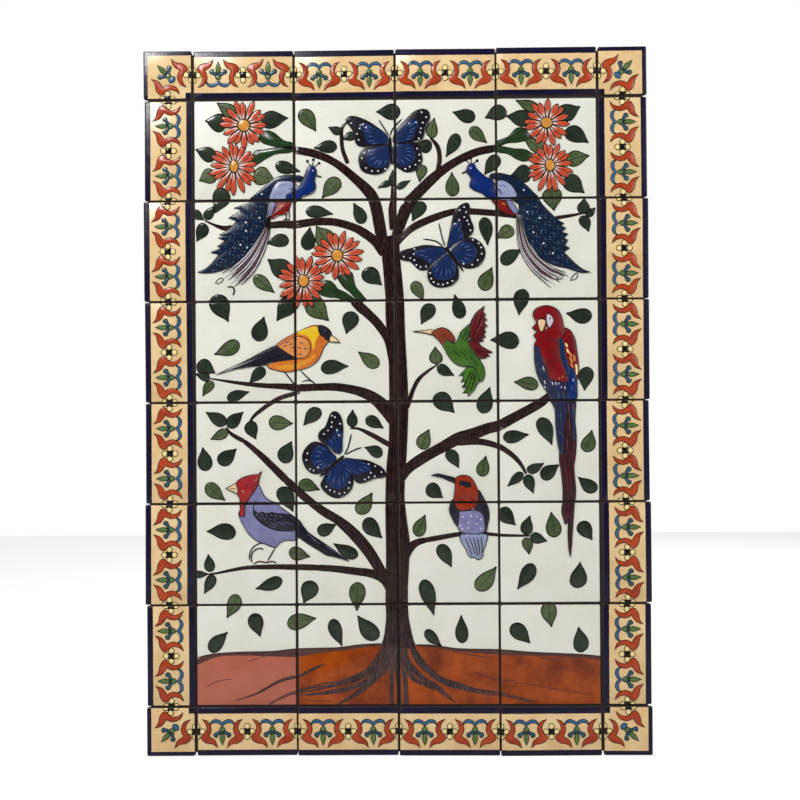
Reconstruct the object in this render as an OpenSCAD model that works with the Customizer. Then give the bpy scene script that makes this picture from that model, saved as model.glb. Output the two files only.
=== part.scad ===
// A tree-of-life mural of glazed clay relief tiles.
// Picture tiles form a grid, narrow tiles frame it, small square tiles turn the corners,
// and dark grout set back from the glaze joins them all.
// +X runs to the viewer's right, +Z up, and the glazed faces look along -Y.
// The origin is the centre of the back plane, where the mural is bonded to its wall.

/* [Layout] */
// Picture tiles across
columns = 4; // [2:1:5]
// Picture tiles up
rows = 6; // [2:1:7]
// Centre-to-centre distance of the picture tiles
pitch = 152; // [120:1:160]
// Grout joint between picture tiles
joint = 2; // [1.6:0.1:3]
// Grout joint between the picture and its border
border_joint = 3; // [2.8:0.1:4]
// Width of the border tiles
border_w = 73; // [60:1:80]

/* [Tiles] */
// Thickness of a tile's clay body
body_t = 8; // [7:0.5:12]
// Rounding of the glazed front edges
edge_r = 2; // [1:0.25:3]
// Rounding of a tile's corners, seen from the front
corner_r = 3; // [2:0.5:5]
// How far the grout lies below the glazed face
grout_set_back = 2.5; // [1.5:0.5:4]

/* [Back keying] */
// Width of each keying channel pressed into the back
channel_w = 13; // [8:1:16]
// Depth of the keying channels
channel_depth = 1.2; // [0.5:0.1:2]
// Flat rim left round the channels
channel_rim = 9; // [6:1:12]
// Rib left between two channels
channel_rib = 5; // [3:1:8]

/* [Hand laying] */
// Largest shift of a picture tile from its true place
picture_shift = 0.25; // [0:0.05:0.3]
// Largest shift of a border tile from its true place, outwards or inwards
border_shift = 1.1; // [0:0.1:1.2]
// Largest turn of a border tile, in degrees
border_turn = 0.25; // [0:0.05:0.3]

/* [Hidden] */
$fn = 48;
picture_tile = pitch - joint;
border_len = pitch - 1.4;
field_w = columns * pitch - joint;
field_h = rows * pitch - joint;
border_off = border_joint + border_w / 2;
overall_w = field_w + 2 * (border_joint + border_w);
overall_h = field_h + 2 * (border_joint + border_w);
edge_steps = 6;
overshoot = 1;
grout_t = body_t - grout_set_back;
grout_rim = 6;

CELLS = [for (r = [1:rows]) for (c = [1:columns]) [c, r]];

// Columns count from the left and rows from the top.
function picture_name(cell) = str("picture_row", cell[1], "_col", cell[0]);

// A repeatable wobble between -1 and 1, for tiles that a hand has laid.
function wobble(i, j) = sin(137 * i + 71 * j + 40);

function column_x(c) = (c - (columns + 1) / 2) * pitch;
function row_z(r) = ((rows + 1) / 2 - r) * pitch;
function side_x(side) = side * (field_w / 2 + border_off);
function side_z(side) = side * (field_h / 2 + border_off);

// Each tile's place is [x, z, turn in degrees].
function picture_place(c, r) = [
    column_x(c) + picture_shift * wobble(c, r),
    row_z(r) + picture_shift * wobble(r, c + 3),
    0
];
function flat_border_place(c, side) = [
    column_x(c) + picture_shift * wobble(c, side),
    side_z(side) + border_shift * wobble(3 * c, side + 1),
    border_turn * wobble(c, 2 * side)
];
function upright_border_place(r, side) = [
    side_x(side) + border_shift * wobble(r, side + 5),
    row_z(r) + picture_shift * wobble(side, r),
    border_turn * wobble(2 * r, side)
];
function corner_place(side_across, side_up) = [
    side_x(side_across) + border_shift * wobble(side_across, side_up) / 2,
    side_z(side_up) + border_shift * wobble(side_up + 2, side_across) / 2,
    border_turn * wobble(side_across + 4, side_up)
];

// Side view of a slab whose two front edges are rounded, [across, thickness].
function slab_profile(w) = concat(
    [[-w / 2, 0]],
    [for (i = [0:edge_steps]) let (a = 180 - 90 * i / edge_steps)
        [-w / 2 + edge_r + edge_r * cos(a), body_t - edge_r + edge_r * sin(a)]],
    [for (i = [0:edge_steps]) let (a = 90 - 90 * i / edge_steps)
        [w / 2 - edge_r + edge_r * cos(a), body_t - edge_r + edge_r * sin(a)]],
    [[w / 2, 0]]
);

// A straight plate with round corners, drawn flat with its thickness along +Z.
module round_plate(w, h, t) {
    r = corner_r;
    union() {
        translate([-w / 2 + r, -h / 2, 0]) cube([w - 2 * r, h, t]);
        translate([-w / 2, -h / 2 + r, 0]) cube([w, h - 2 * r, t]);
        for (x = [-1, 1], y = [-1, 1])
            translate([x * (w / 2 - r), y * (h / 2 - r), 0]) cylinder(h = t, r = r);
    }
}

// The keying channels that let mortar grip a tile's back.
module keying(w, h) {
    inner = h - 2 * channel_rim;
    count = floor((inner + channel_rib) / (channel_w + channel_rib));
    spare = inner - count * channel_w - (count - 1) * channel_rib;
    for (i = [0:count - 1])
        translate([-w / 2 + channel_rim, -h / 2 + channel_rim + spare / 2 + i * (channel_w + channel_rib), -overshoot])
            cube([w - 2 * channel_rim, channel_w, channel_depth + overshoot]);
}

// One clay tile, drawn flat with its back at z = 0.
module tile(w, h) {
    difference() {
        intersection() {
            round_plate(w, h, body_t);
            rotate([90, 0, 0])
                linear_extrude(height = h + 2 * overshoot, center = true) polygon(slab_profile(w));
            rotate([90, 0, 90])
                linear_extrude(height = w + 2 * overshoot, center = true) polygon(slab_profile(h));
        }
        keying(w, h);
    }
}

// Stands a flat tile up at its place, glazed face along -Y.
module laid(place) {
    translate([place[0], 0, place[1]]) rotate([90, 0, 0]) rotate([0, 0, place[2]]) children();
}

module picture_tile(c, r) {
    color("#e4e2d6") laid(picture_place(c, r)) tile(picture_tile, picture_tile);
}

module flat_border(c, side) {
    color("#e8c894") laid(flat_border_place(c, side)) tile(border_len, border_w);
}

module upright_border(r, side) {
    color("#e8c894") laid(upright_border_place(r, side)) tile(border_w, border_len);
}

module corner(side_across, side_up) {
    color("#e8c894") laid(corner_place(side_across, side_up)) tile(border_w, border_w);
}

// What one tile takes out of the grout: its outline, through the whole thickness.
module tile_void(place, w, h) {
    laid(place) translate([0, 0, -overshoot]) round_plate(w, h, body_t + 2 * overshoot);
}

// One plate of grout behind the glaze, less every tile that stands in it.
module grout_lattice() {
    w = overall_w - 2 * grout_rim;
    h = overall_h - 2 * grout_rim;
    color("#2b211d") difference() {
        translate([-w / 2, -grout_t, -h / 2]) cube([w, grout_t, h]);
        for (cell = CELLS) tile_void(picture_place(cell[0], cell[1]), picture_tile, picture_tile);
        for (side = [-1, 1]) {
            for (c = [1:columns]) tile_void(flat_border_place(c, side), border_len, border_w);
            for (r = [1:rows]) tile_void(upright_border_place(r, side), border_w, border_len);
            for (up = [-1, 1]) tile_void(corner_place(side, up), border_w, border_w);
        }
    }
}

for (cell = CELLS)
    picture_tile(cell[0], cell[1]);
for (c = [1:columns]) {
    flat_border(c, 1);
    flat_border(c, -1);
}
for (r = [1:rows]) {
    upright_border(r, -1);
    upright_border(r, 1);
}
corner(-1, 1);  // corner_top_left
corner(1, 1);  // corner_top_right
corner(-1, -1);  // corner_bottom_left
corner(1, -1);  // corner_bottom_right
grout_lattice();
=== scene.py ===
# %% [markdown]
# This lesson dresses a tile picture of a tree of life. The picture is 24 square tiles, framed by
# 20 narrow border tiles and 4 corner tiles, all laid by hand on a wall with dark grout between.
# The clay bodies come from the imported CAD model. Here each one gets what the potter added to it:
# a coat of glaze, raised lines squeezed from a nozzle, and coloured glaze pooled between them.

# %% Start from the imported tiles
import math

import bmesh
import bpy
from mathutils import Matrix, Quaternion, Vector


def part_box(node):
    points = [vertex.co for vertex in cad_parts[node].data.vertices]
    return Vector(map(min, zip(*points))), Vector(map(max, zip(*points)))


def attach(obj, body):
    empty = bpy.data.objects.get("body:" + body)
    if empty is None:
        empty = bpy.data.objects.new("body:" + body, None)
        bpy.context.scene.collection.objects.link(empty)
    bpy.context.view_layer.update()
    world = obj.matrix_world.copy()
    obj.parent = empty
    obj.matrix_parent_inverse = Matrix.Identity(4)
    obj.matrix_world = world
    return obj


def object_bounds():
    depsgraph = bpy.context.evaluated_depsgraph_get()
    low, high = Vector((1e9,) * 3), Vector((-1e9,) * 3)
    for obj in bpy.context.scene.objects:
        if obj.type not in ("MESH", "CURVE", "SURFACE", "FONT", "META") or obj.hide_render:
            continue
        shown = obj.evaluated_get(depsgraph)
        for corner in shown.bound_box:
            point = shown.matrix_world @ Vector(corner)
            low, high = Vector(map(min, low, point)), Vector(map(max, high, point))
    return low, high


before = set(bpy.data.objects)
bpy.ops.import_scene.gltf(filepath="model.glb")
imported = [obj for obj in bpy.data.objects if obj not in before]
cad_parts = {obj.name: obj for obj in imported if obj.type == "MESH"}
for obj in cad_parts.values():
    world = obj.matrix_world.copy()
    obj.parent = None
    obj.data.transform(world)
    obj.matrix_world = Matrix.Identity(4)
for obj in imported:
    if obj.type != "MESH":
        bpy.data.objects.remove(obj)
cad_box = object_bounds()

print("clay tiles and grout:", len(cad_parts))

# %% [markdown]
# All the sizes here start from the frame. A picture tile is the unit of the drawing: u runs to
# the right from 0 to 4 and v runs up from 0 to 6, so a point of the drawing reads "tile 2, a third
# of the way along". Heights stand forward from the clay, towards the viewer, which is minus Y.

# %% Sizes
MM = 0.001
COLUMNS = 4
ROWS = 6
low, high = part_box("picture_row1_col1")
CLAY_FRONT = low[1]
TILE = high[0] - low[0]
PITCH = (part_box("picture_row1_col4")[0][0] - low[0]) / (COLUMNS - 1)
GLAZE = 0.6 * MM
GLAZE_INSET = 0.9 * MM
GLAZE_ROUND = 1.0 * MM
SINK = 0.4 * MM
print(f"tile {TILE / MM:.1f} mm on a pitch of {PITCH / MM:.1f} mm, clay front at {CLAY_FRONT / MM:.1f} mm")

# %% [markdown]
# The tiles were pushed into place by hand, so each lies a little off its line and turned by a
# fraction of a degree. The glaze has to follow, so each tile's middle and turn are measured from
# its clay: the widest flat side wall says which way the tile is turned.


# %% How each tile lies
def lie(name):
    """Middle x and z, turn, width and height of a clay tile."""
    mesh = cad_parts[name].data
    corner_low, corner_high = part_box(name)
    walls = [face for face in mesh.polygons if abs(face.normal.y) < 0.01]
    wall = max(walls, key=lambda face: face.area)
    turn = (math.atan2(wall.normal.z, wall.normal.x) + math.pi / 4) % (math.pi / 2) - math.pi / 4
    middle = [(corner_low[axis] + corner_high[axis]) / 2 for axis in (0, 2)]
    spots = [(vertex.co.x - middle[0], vertex.co.z - middle[1]) for vertex in mesh.vertices]
    across = [x * math.cos(turn) + z * math.sin(turn) for x, z in spots]
    along = [z * math.cos(turn) - x * math.sin(turn) for x, z in spots]
    return middle[0], middle[1], turn, max(across) - min(across), max(along) - min(along)


tiles = {name: lie(name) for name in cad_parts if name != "grout_lattice"}
print("largest turn:", round(max(abs(math.degrees(tile[2])) for tile in tiles.values()), 2), "degrees")

# %% [markdown]
# Glaze colours come first, as plain numbers for red, green and blue. Screens store colours on a
# curve, and the shaders want plain light, so one small function changes one into the other.


# %% Colour helper
def paint(red, green, blue):
    """A colour as a screen names it, 0 to 255, turned into plain light for a shader."""
    light = []
    for value in (red, green, blue):
        part = value / 255
        light.append(part / 12.92 if part < 0.04045 else ((part + 0.055) / 1.055) ** 2.4)
    return (*light, 1.0)


print("middle grey in plain light:", round(paint(128, 128, 128)[0], 3))


# %% [markdown]
# A shader is a web of nodes. This helper adds one node, sets its options and fills its sockets:
# a socket given another node's output is wired to it, and a socket given a number holds it.


# %% Node helper
def add_node(tree, kind, options=None, **values):
    """One shader node. Values are named after its sockets, with _ for a space."""
    node = tree.nodes.new(kind)
    for option, value in (options or {}).items():
        setattr(node, option, value)
    for name, value in values.items():
        key = name.replace("_", " ")
        socket = node.inputs[int(key[1:])] if key[1:].isdigit() else node.inputs[key]
        if isinstance(value, bpy.types.NodeSocket):
            tree.links.new(value, socket)
        else:
            socket.default_value = value
    return node


def new_group(name, sockets_in, sockets_out):
    """An empty node group with named inputs and outputs. Returns its tree and its two end nodes."""
    tree = bpy.data.node_groups.new(name, "ShaderNodeTree")
    for label, kind, value in sockets_in:
        socket = tree.interface.new_socket(label, in_out="INPUT", socket_type=kind)
        if value is not None:
            socket.default_value = value
    for label, kind in sockets_out:
        tree.interface.new_socket(label, in_out="OUTPUT", socket_type=kind)
    return tree, tree.nodes.new("NodeGroupInput"), tree.nodes.new("NodeGroupOutput")


print("node helpers:", add_node.__name__, "and", new_group.__name__)


# %% [markdown]
# Every glaze here shares one effect. Brushed glaze is never one colour: it is cloudy where it is
# thick, it is lighter over a ridge, partly where it runs thin and partly as a painted highlight for
# the glint of light on the ridge, it carries tiny specks, and its surface ripples a little as it
# melts. The group mixes all of that from the piece's own coordinates and from two marks that the
# relief carries: crest, which is high on top of a ridge, and tone, which is different for every
# leaf or petal.

# %% The brushed glaze group
FLOAT = "NodeSocketFloat"
COLOUR = "NodeSocketColor"
brushed, takes, gives = new_group(
    "brushed_glaze",
    [
        ("Colour", COLOUR, (0.8, 0.8, 0.8, 1)),
        ("Thick Colour", COLOUR, (0.5, 0.5, 0.5, 1)),
        ("Thin Colour", COLOUR, (0.9, 0.9, 0.9, 1)),
        ("Cloud Size", FLOAT, 60.0),
        ("Cloud Strength", FLOAT, 0.5),
        ("Crest Strength", FLOAT, 0.0),
        ("Speck Strength", FLOAT, 0.2),
        ("Gloss", FLOAT, 0.2),
    ],
    [("Colour", COLOUR), ("Roughness", FLOAT), ("Height", FLOAT)],
)
print("sockets into the group:", len(brushed.interface.items_tree) - 3)

# %% Clouds of thick glaze
place = add_node(brushed, "ShaderNodeTexCoord").outputs["Object"]
clouds = add_node(
    brushed, "ShaderNodeTexNoise", Vector=place, Scale=takes.outputs["Cloud Size"], Detail=5.0, Roughness=0.6
)
tone = add_node(brushed, "ShaderNodeAttribute", {"attribute_name": "tone"})
cloudy = add_node(
    brushed, "ShaderNodeMath", {"operation": "ADD"}, _0=clouds.outputs["Fac"], _1=tone.outputs["Fac"]
)
spread = add_node(
    brushed, "ShaderNodeMapRange", Value=cloudy.outputs[0], From_Min=0.38, From_Max=0.68
)
depth = add_node(
    brushed,
    "ShaderNodeMath",
    {"operation": "MULTIPLY"},
    _0=spread.outputs[0],
    _1=takes.outputs["Cloud Strength"],
)
thick = add_node(
    brushed,
    "ShaderNodeMix",
    {"data_type": "RGBA"},
    _0=depth.outputs[0],
    _6=takes.outputs["Colour"],
    _7=takes.outputs["Thick Colour"],
)
print("nodes so far:", len(brushed.nodes))

# %% Thin glaze and painted highlight on the ridges
# A ridge top turns lighter: partly thin glaze, partly a painted highlight standing in for its glint.
crest = add_node(brushed, "ShaderNodeAttribute", {"attribute_name": "crest"})
thin_glaze_and_highlight = add_node(
    brushed,
    "ShaderNodeMapRange",
    Value=crest.outputs["Fac"],
    From_Min=0.55,
    From_Max=1.0,
    To_Min=0.0,
    To_Max=takes.outputs["Crest Strength"],
)
streak_place = add_node(brushed, "ShaderNodeMapping", Vector=place, Scale=(1.0, 1.0, 0.35))
streaks = add_node(
    brushed, "ShaderNodeTexNoise", Vector=streak_place.outputs[0], Scale=210.0, Detail=3.0, Roughness=0.6
)
broken = add_node(
    brushed, "ShaderNodeMapRange", Value=streaks.outputs["Fac"], From_Min=0.4, From_Max=0.62
)
thin = add_node(
    brushed, "ShaderNodeMath", {"operation": "MULTIPLY"}, _0=thin_glaze_and_highlight.outputs[0], _1=broken.outputs[0]
)
ridged = add_node(
    brushed,
    "ShaderNodeMix",
    {"data_type": "RGBA"},
    _0=thin.outputs[0],
    _6=thick.outputs[2],
    _7=takes.outputs["Thin Colour"],
)
print("nodes so far:", len(brushed.nodes))

# %% Specks, ripples and gloss
grains = add_node(brushed, "ShaderNodeTexNoise", Vector=place, Scale=900.0, Detail=2.0)
specks = add_node(
    brushed,
    "ShaderNodeMapRange",
    Value=grains.outputs["Fac"],
    From_Min=0.64,
    From_Max=0.72,
    To_Min=0.0,
    To_Max=takes.outputs["Speck Strength"],
)
speckled = add_node(
    brushed,
    "ShaderNodeMix",
    {"data_type": "RGBA"},
    _0=specks.outputs[0],
    _6=ridged.outputs[2],
    _7=takes.outputs["Thick Colour"],
)
ripple = add_node(brushed, "ShaderNodeTexNoise", Vector=place, Scale=75.0, Detail=3.0, Roughness=0.5)
rough = add_node(
    brushed, "ShaderNodeMapRange", Value=clouds.outputs["Fac"], From_Min=0.3, From_Max=0.7, To_Max=0.1
)
gloss = add_node(
    brushed, "ShaderNodeMath", {"operation": "ADD"}, _0=rough.outputs[0], _1=takes.outputs["Gloss"]
)
brushed.links.new(speckled.outputs[2], gives.inputs["Colour"])
brushed.links.new(gloss.outputs[0], gives.inputs["Roughness"])
brushed.links.new(ripple.outputs["Fac"], gives.inputs["Height"])
print("group", brushed.name, "has", len(brushed.nodes), "nodes")


# %% [markdown]
# Each glaze is its own material: the group gives the colour, the roughness and the ripples, and
# the Principled shader in the material turns them into a glassy skin over fired clay.


# %% Glaze helper
# The third colour, thin, lies on the tops of raised lines: partly thin glaze, partly a painted highlight.
def glaze(
    name, colour, thick, thin=None, cloud=60.0, clouds=0.5, crest=0.0, specks=0.2, gloss=0.18, ripple=0.22
):
    """A glaze material made with the brushed glaze group."""
    material = bpy.data.materials.new(name)
    material.use_nodes = True
    tree = material.node_tree
    shader = tree.nodes["Principled BSDF"]
    coat = add_node(
        tree,
        "ShaderNodeGroup",
        {"node_tree": brushed},
        Colour=paint(*colour),
        Thick_Colour=paint(*thick),
        Thin_Colour=paint(*(thin or colour)),
        Cloud_Size=cloud,
        Cloud_Strength=clouds,
        Crest_Strength=crest,
        Speck_Strength=specks,
        Gloss=gloss,
    )
    height = coat.outputs["Height"]
    bump = add_node(tree, "ShaderNodeBump", Strength=ripple, Distance=0.6 * MM, Height=height)
    tree.links.new(coat.outputs["Colour"], shader.inputs["Base Color"])
    tree.links.new(coat.outputs["Roughness"], shader.inputs["Roughness"])
    tree.links.new(bump.outputs["Normal"], shader.inputs["Normal"])
    shader.inputs["IOR"].default_value = 1.46
    material.diffuse_color = paint(*colour)
    return material


print("glazes will share the group", brushed.name)

# %% The glazes
white = glaze(
    "white_tile_glaze", (228, 229, 216), (216, 216, 200), cloud=14.0, clouds=0.6, specks=0.06, gloss=0.2
)
cream = glaze("cream_glaze", (233, 203, 153), (214, 172, 116), cloud=26.0, clouds=0.7, specks=0.12)
cobalt = glaze("cobalt_glaze", (20, 17, 50), (9, 7, 22), (44, 40, 96), cloud=70.0, clouds=0.8)
# The pale third colours of the outline and bark glazes are thin glaze and painted highlight on ridge tops.
outline_dark = glaze(
    "outline_glaze", (22, 15, 15), (12, 9, 10), (58, 44, 42), crest=0.2, specks=0.1, gloss=0.1
)
bark = glaze(
    "bark_glaze", (35, 19, 18), (15, 9, 9), (86, 60, 58), cloud=90.0, clouds=0.8, crest=0.45, gloss=0.1
)
leaf_dark = glaze(
    "dark_leaf_glaze", (45, 56, 44), (26, 34, 27), (84, 98, 84), cloud=150.0, clouds=0.8, gloss=0.13
)
leaf_light = glaze("light_leaf_glaze", (88, 102, 66), (54, 72, 38), cloud=110.0, clouds=0.9)
calyx = glaze("calyx_glaze", (34, 62, 28), (20, 38, 20), cloud=70.0, clouds=0.8)
print("glazes so far:", len(bpy.data.materials))

# %% [markdown]
# A petal is white where it leaves the middle of the flower and orange red at its tip, with a
# fiery core. Its relief carries a third mark, run, which counts from 0 at the root to 1 at the
# tip, and side, which is 0 on its middle line and 1 at its edges. They steer the colours.


# %% Petal glaze
def fade(name, root, body, core, start=0.12, end=0.5):
    """A glaze that changes colour from a petal's root to its tip."""
    material = glaze(name, body, body, crest=0.0, cloud=120.0, clouds=0.5)
    tree = material.node_tree
    coat = next(node for node in tree.nodes if node.type == "GROUP")
    run = add_node(tree, "ShaderNodeAttribute", {"attribute_name": "run"})
    side = add_node(tree, "ShaderNodeAttribute", {"attribute_name": "side"})
    rise = add_node(
        tree,
        "ShaderNodeMapRange",
        {"interpolation_type": "SMOOTHSTEP"},
        Value=run.outputs["Fac"],
        From_Min=start,
        From_Max=end,
    )
    warm = add_node(
        tree,
        "ShaderNodeMix",
        {"data_type": "RGBA"},
        _0=rise.outputs[0],
        _6=paint(*root),
        _7=paint(*body),
    )
    middle = add_node(
        tree,
        "ShaderNodeMapRange",
        {"interpolation_type": "SMOOTHSTEP"},
        Value=side.outputs["Fac"],
        From_Min=0.75,
        From_Max=0.1,
    )
    heart = add_node(
        tree, "ShaderNodeMath", {"operation": "MULTIPLY"}, _0=middle.outputs[0], _1=rise.outputs[0]
    )
    fiery = add_node(
        tree,
        "ShaderNodeMix",
        {"data_type": "RGBA"},
        _0=heart.outputs[0],
        _6=warm.outputs[2],
        _7=paint(*core),
    )
    tree.links.new(fiery.outputs[2], coat.inputs["Colour"])
    coat.inputs["Cloud Strength"].default_value = 0.25
    return material


petal_glaze = fade("petal_glaze", (232, 220, 210), (210, 102, 72), (184, 56, 26))
disc_glaze = glaze("flower_middle_glaze", (216, 152, 62), (176, 104, 36), cloud=120.0, clouds=0.6)
print("nodes in the petal glaze:", len(petal_glaze.node_tree.nodes))

# %% Bird, butterfly and ground glazes
# A glaze with a crest strength puts its third colour on ridge tops, as thin glaze and painted highlight.
GLAZES = {
    "white": white,
    "line": outline_dark,
    "leg": glaze("leg_glaze", (30, 24, 26), (16, 12, 14), (66, 56, 56), specks=0.1),
    "bark": bark,
    # The root glaze's pale third colour is thin glaze and a painted highlight along the root ridges.
    "root": glaze("root_glaze", (60, 44, 43), (34, 22, 21), (128, 100, 96), crest=0.4, gloss=0.1),
    "leaf": leaf_dark,
    "light_leaf": leaf_light,
    "calyx": calyx,
    "petal": petal_glaze,
    "petal_line": glaze("petal_line_glaze", (58, 20, 16), (32, 12, 12), specks=0.1),
    "disc": disc_glaze,
    "earth": glaze("earth_glaze", (164, 72, 14), (104, 38, 10), cloud=24.0, clouds=1.0, gloss=0.14),
    # The paler, pinker earth of the first tile is the earth with a painted sheen.
    "earth_and_sheen": glaze("earth_and_sheen_glaze", (182, 104, 84), (160, 82, 62), cloud=14.0, clouds=0.6),
    # The dark earth's pale third colour tops the fine roots as thin glaze and a painted highlight.
    "dark_earth": glaze(
        "dark_earth_glaze", (86, 56, 50), (58, 34, 30), (150, 110, 100), cloud=40.0, crest=0.5
    ),
    "root_light": glaze("root_light_glaze", (226, 176, 164), (180, 120, 104), cloud=60.0, gloss=0.12),
    "wing_blue": glaze("wing_blue_glaze", (20, 44, 92), (12, 24, 60), (80, 112, 168), cloud=90.0, crest=0.5),
    "wing_streak": glaze("wing_streak_glaze", (96, 120, 172), (48, 76, 138), cloud=90.0),
    "wing_black": glaze("wing_black_glaze", (26, 22, 32), (14, 12, 18), cloud=120.0),
    "dot": glaze("white_dot_glaze", (222, 220, 222), (180, 178, 184), cloud=120.0, clouds=0.3),
    "royal": glaze("royal_blue_glaze", (6, 42, 114), (6, 22, 74), cloud=60.0, clouds=0.7),
    "tail_teal": glaze("tail_teal_glaze", (14, 34, 62), (8, 16, 34), cloud=120.0, clouds=0.8, specks=0.0),
    "fleck": glaze("tail_fleck_glaze", (74, 104, 116), (34, 62, 84), cloud=90.0, clouds=0.6),
    "fleck_pale": glaze("pale_fleck_glaze", (120, 140, 148), (60, 86, 104), cloud=90.0, clouds=0.6),
    "head_red": glaze("head_red_glaze", (164, 42, 46), (118, 22, 28), cloud=60.0, clouds=0.8),
    "lavender": glaze("lavender_glaze", (152, 162, 190), (124, 132, 170), cloud=90.0, clouds=0.7),
    "lilac": glaze("lilac_glaze", (130, 130, 172), (108, 106, 150), cloud=70.0, clouds=0.8),
    "shaft": glaze("tail_shaft_glaze", (212, 208, 212), (170, 162, 172), cloud=90.0, clouds=0.7),
    "belly_red": glaze(
        "belly_red_glaze", (136, 22, 22), (84, 12, 16), (206, 100, 60), cloud=90.0, clouds=0.8
    ),
    "feather_red": glaze(
        "feather_red_glaze", (104, 28, 32), (66, 16, 24), (160, 70, 70), cloud=120.0, crest=0.6
    ),
    "scarlet": glaze("scarlet_glaze", (132, 12, 20), (96, 8, 16), cloud=60.0, clouds=0.8),
    "orange": glaze("orange_glaze", (214, 122, 46), (190, 92, 32), cloud=40.0, clouds=0.8),
    "yellow": glaze("yellow_glaze", (226, 194, 40), (222, 162, 34), cloud=40.0, clouds=0.6),
    "plum_shaft": glaze("plum_shaft_glaze", (112, 76, 88), (84, 52, 66), cloud=90.0, clouds=0.7),
    "face": glaze("face_glaze", (206, 200, 212), (170, 166, 184), cloud=90.0, clouds=0.4),
    "slate": glaze(
        "slate_feather_glaze", (46, 50, 80), (30, 34, 60), (110, 116, 150), cloud=120.0, clouds=0.9
    ),
    "plum": glaze("plum_feather_glaze", (74, 32, 38), (48, 24, 34), (130, 70, 76), cloud=120.0, clouds=0.9),
    "amber": glaze("amber_glaze", (222, 156, 46), (206, 126, 40), cloud=60.0, clouds=0.6),
    "rust": glaze("rust_glaze", (138, 62, 38), (104, 44, 28), cloud=60.0, clouds=0.8),
    "peach": glaze("peach_glaze", (222, 148, 84), (204, 108, 48), cloud=90.0, clouds=0.7),
    "head_orange": glaze("head_orange_glaze", (156, 50, 20), (126, 30, 14), cloud=50.0, clouds=0.8),
    "ink": glaze("ink_glaze", (34, 32, 46), (16, 16, 26), (70, 70, 92), cloud=80.0, clouds=0.8, crest=0.6),
    "green": glaze("grass_green_glaze", (70, 112, 38), (40, 78, 26), cloud=50.0, clouds=0.8),
    "beak": glaze("beak_glaze", (232, 204, 158), (214, 160, 120), cloud=90.0, clouds=0.6),
    "brown_wing": glaze(
        "brown_wing_glaze", (46, 40, 54), (27, 23, 35), (104, 92, 112), cloud=120.0, crest=0.4
    ),
    "cobalt": cobalt,
    "cream": cream,
    "flame": glaze("flame_glaze", (182, 70, 34), (146, 44, 22), cloud=60.0, clouds=0.8),
    "butter": glaze("butter_glaze", (244, 224, 158), (226, 190, 104), cloud=90.0),
    "fleur_green": glaze("fleur_green_glaze", (92, 120, 70), (60, 88, 56), cloud=90.0),
    "fleur_blue": glaze("fleur_blue_glaze", (58, 104, 142), (36, 70, 104), cloud=90.0),
    "fleur_teal": glaze("fleur_teal_glaze", (48, 86, 104), (32, 60, 80), cloud=90.0),
}
print("glazes:", len(GLAZES))

# %% [markdown]
# The drawing is modelled in relief. A round-nosed nozzle lays a bead of dark slip along every
# outline, and the coloured glazes lie between the beads like shallow cushions. The shapes are
# free drawings, which no operator can draw, so their meshes are built from points: a few points
# given one by one, and a smooth line through them that turns sharply only where a ! stands.


# %% Points and smooth lines
def spot(u, v):
    """A point of the drawing, in tiles, as x and z in the frame."""
    return Vector(((u - COLUMNS / 2) * PITCH, (v - ROWS / 2) * PITCH))


def read_points(text):
    """Words 'u,v' or 'u,v,width' as (point, width, sharp)."""
    marks = []
    for word in text.split():
        values = [float(value) for value in word.rstrip("!").split(",")]
        width = values[2] * PITCH if len(values) > 2 else 0.0
        marks.append((spot(values[0], values[1]), width, word.endswith("!")))
    return marks


def smooth(marks, closed, steps):
    """A smooth line through marks, as (point, width). It turns sharply only at sharp marks."""
    count = len(marks)
    headings = []
    for index, (point, width, sharp) in enumerate(marks):
        inner = closed or 0 < index < count - 1
        before = marks[index - 1][0]
        after = marks[(index + 1) % count][0]
        headings.append((after - before).normalized() if inner and not sharp else None)
    line = []
    for index in range(count if closed else count - 1):
        start, start_width, _ = marks[index]
        end, end_width, _ = marks[(index + 1) % count]
        chord = end - start
        leave = (headings[index] or chord.normalized()) * chord.length
        arrive = (headings[(index + 1) % count] or chord.normalized()) * chord.length
        for step in range(steps):
            t = step / steps
            point = (
                start * (1 + 2 * t) * (1 - t) ** 2
                + leave * t * (1 - t) ** 2
                + end * t * t * (3 - 2 * t)
                - arrive * t * t * (1 - t)
            )
            line.append((point, start_width + (end_width - start_width) * t))
    if not closed:
        line.append((marks[-1][0], marks[-1][1]))
    return line


def outline(text, steps=4):
    """The points of a closed smooth outline."""
    return [point for point, width in smooth(read_points(text), True, steps)]


print("tree foot stands at", [round(value, 3) for value in spot(2.0, 0.0)])


# %% [markdown]
# Every relief shape is a skin: rings of points joined one after another, and closed at its ends,
# so that it is a solid with its foot just under the glaze. A point also carries its marks for the
# glazes: run, side, crest and tone.

# %% Skins
MARKS = ("run", "side", "crest", "tone")
shapes = []


def skin(family, glaze_name, rings, closed=False, tone=0.0):
    """Adds one closed relief shape. A ring is a list of (x, z, height, run, side, crest)."""
    size = len(rings[0])
    faces = []
    for index in range(len(rings) if closed else len(rings) - 1):
        here = index * size
        there = (index + 1) % len(rings) * size
        for corner in range(size):
            following = (corner + 1) % size
            faces.append((here + corner, here + following, there + following, there + corner))
    if not closed:
        faces.append(tuple(range(size)))
        faces.append(tuple(range((len(rings) - 1) * size, len(rings) * size)))
    points = [point for ring in rings for point in ring]
    box = (
        min(point[0] for point in points),
        min(point[1] for point in points),
        max(point[0] for point in points),
        max(point[1] for point in points),
    )
    shapes.append(dict(family=family, glaze=glaze_name, points=points, faces=faces, box=box, tone=tone))


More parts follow.
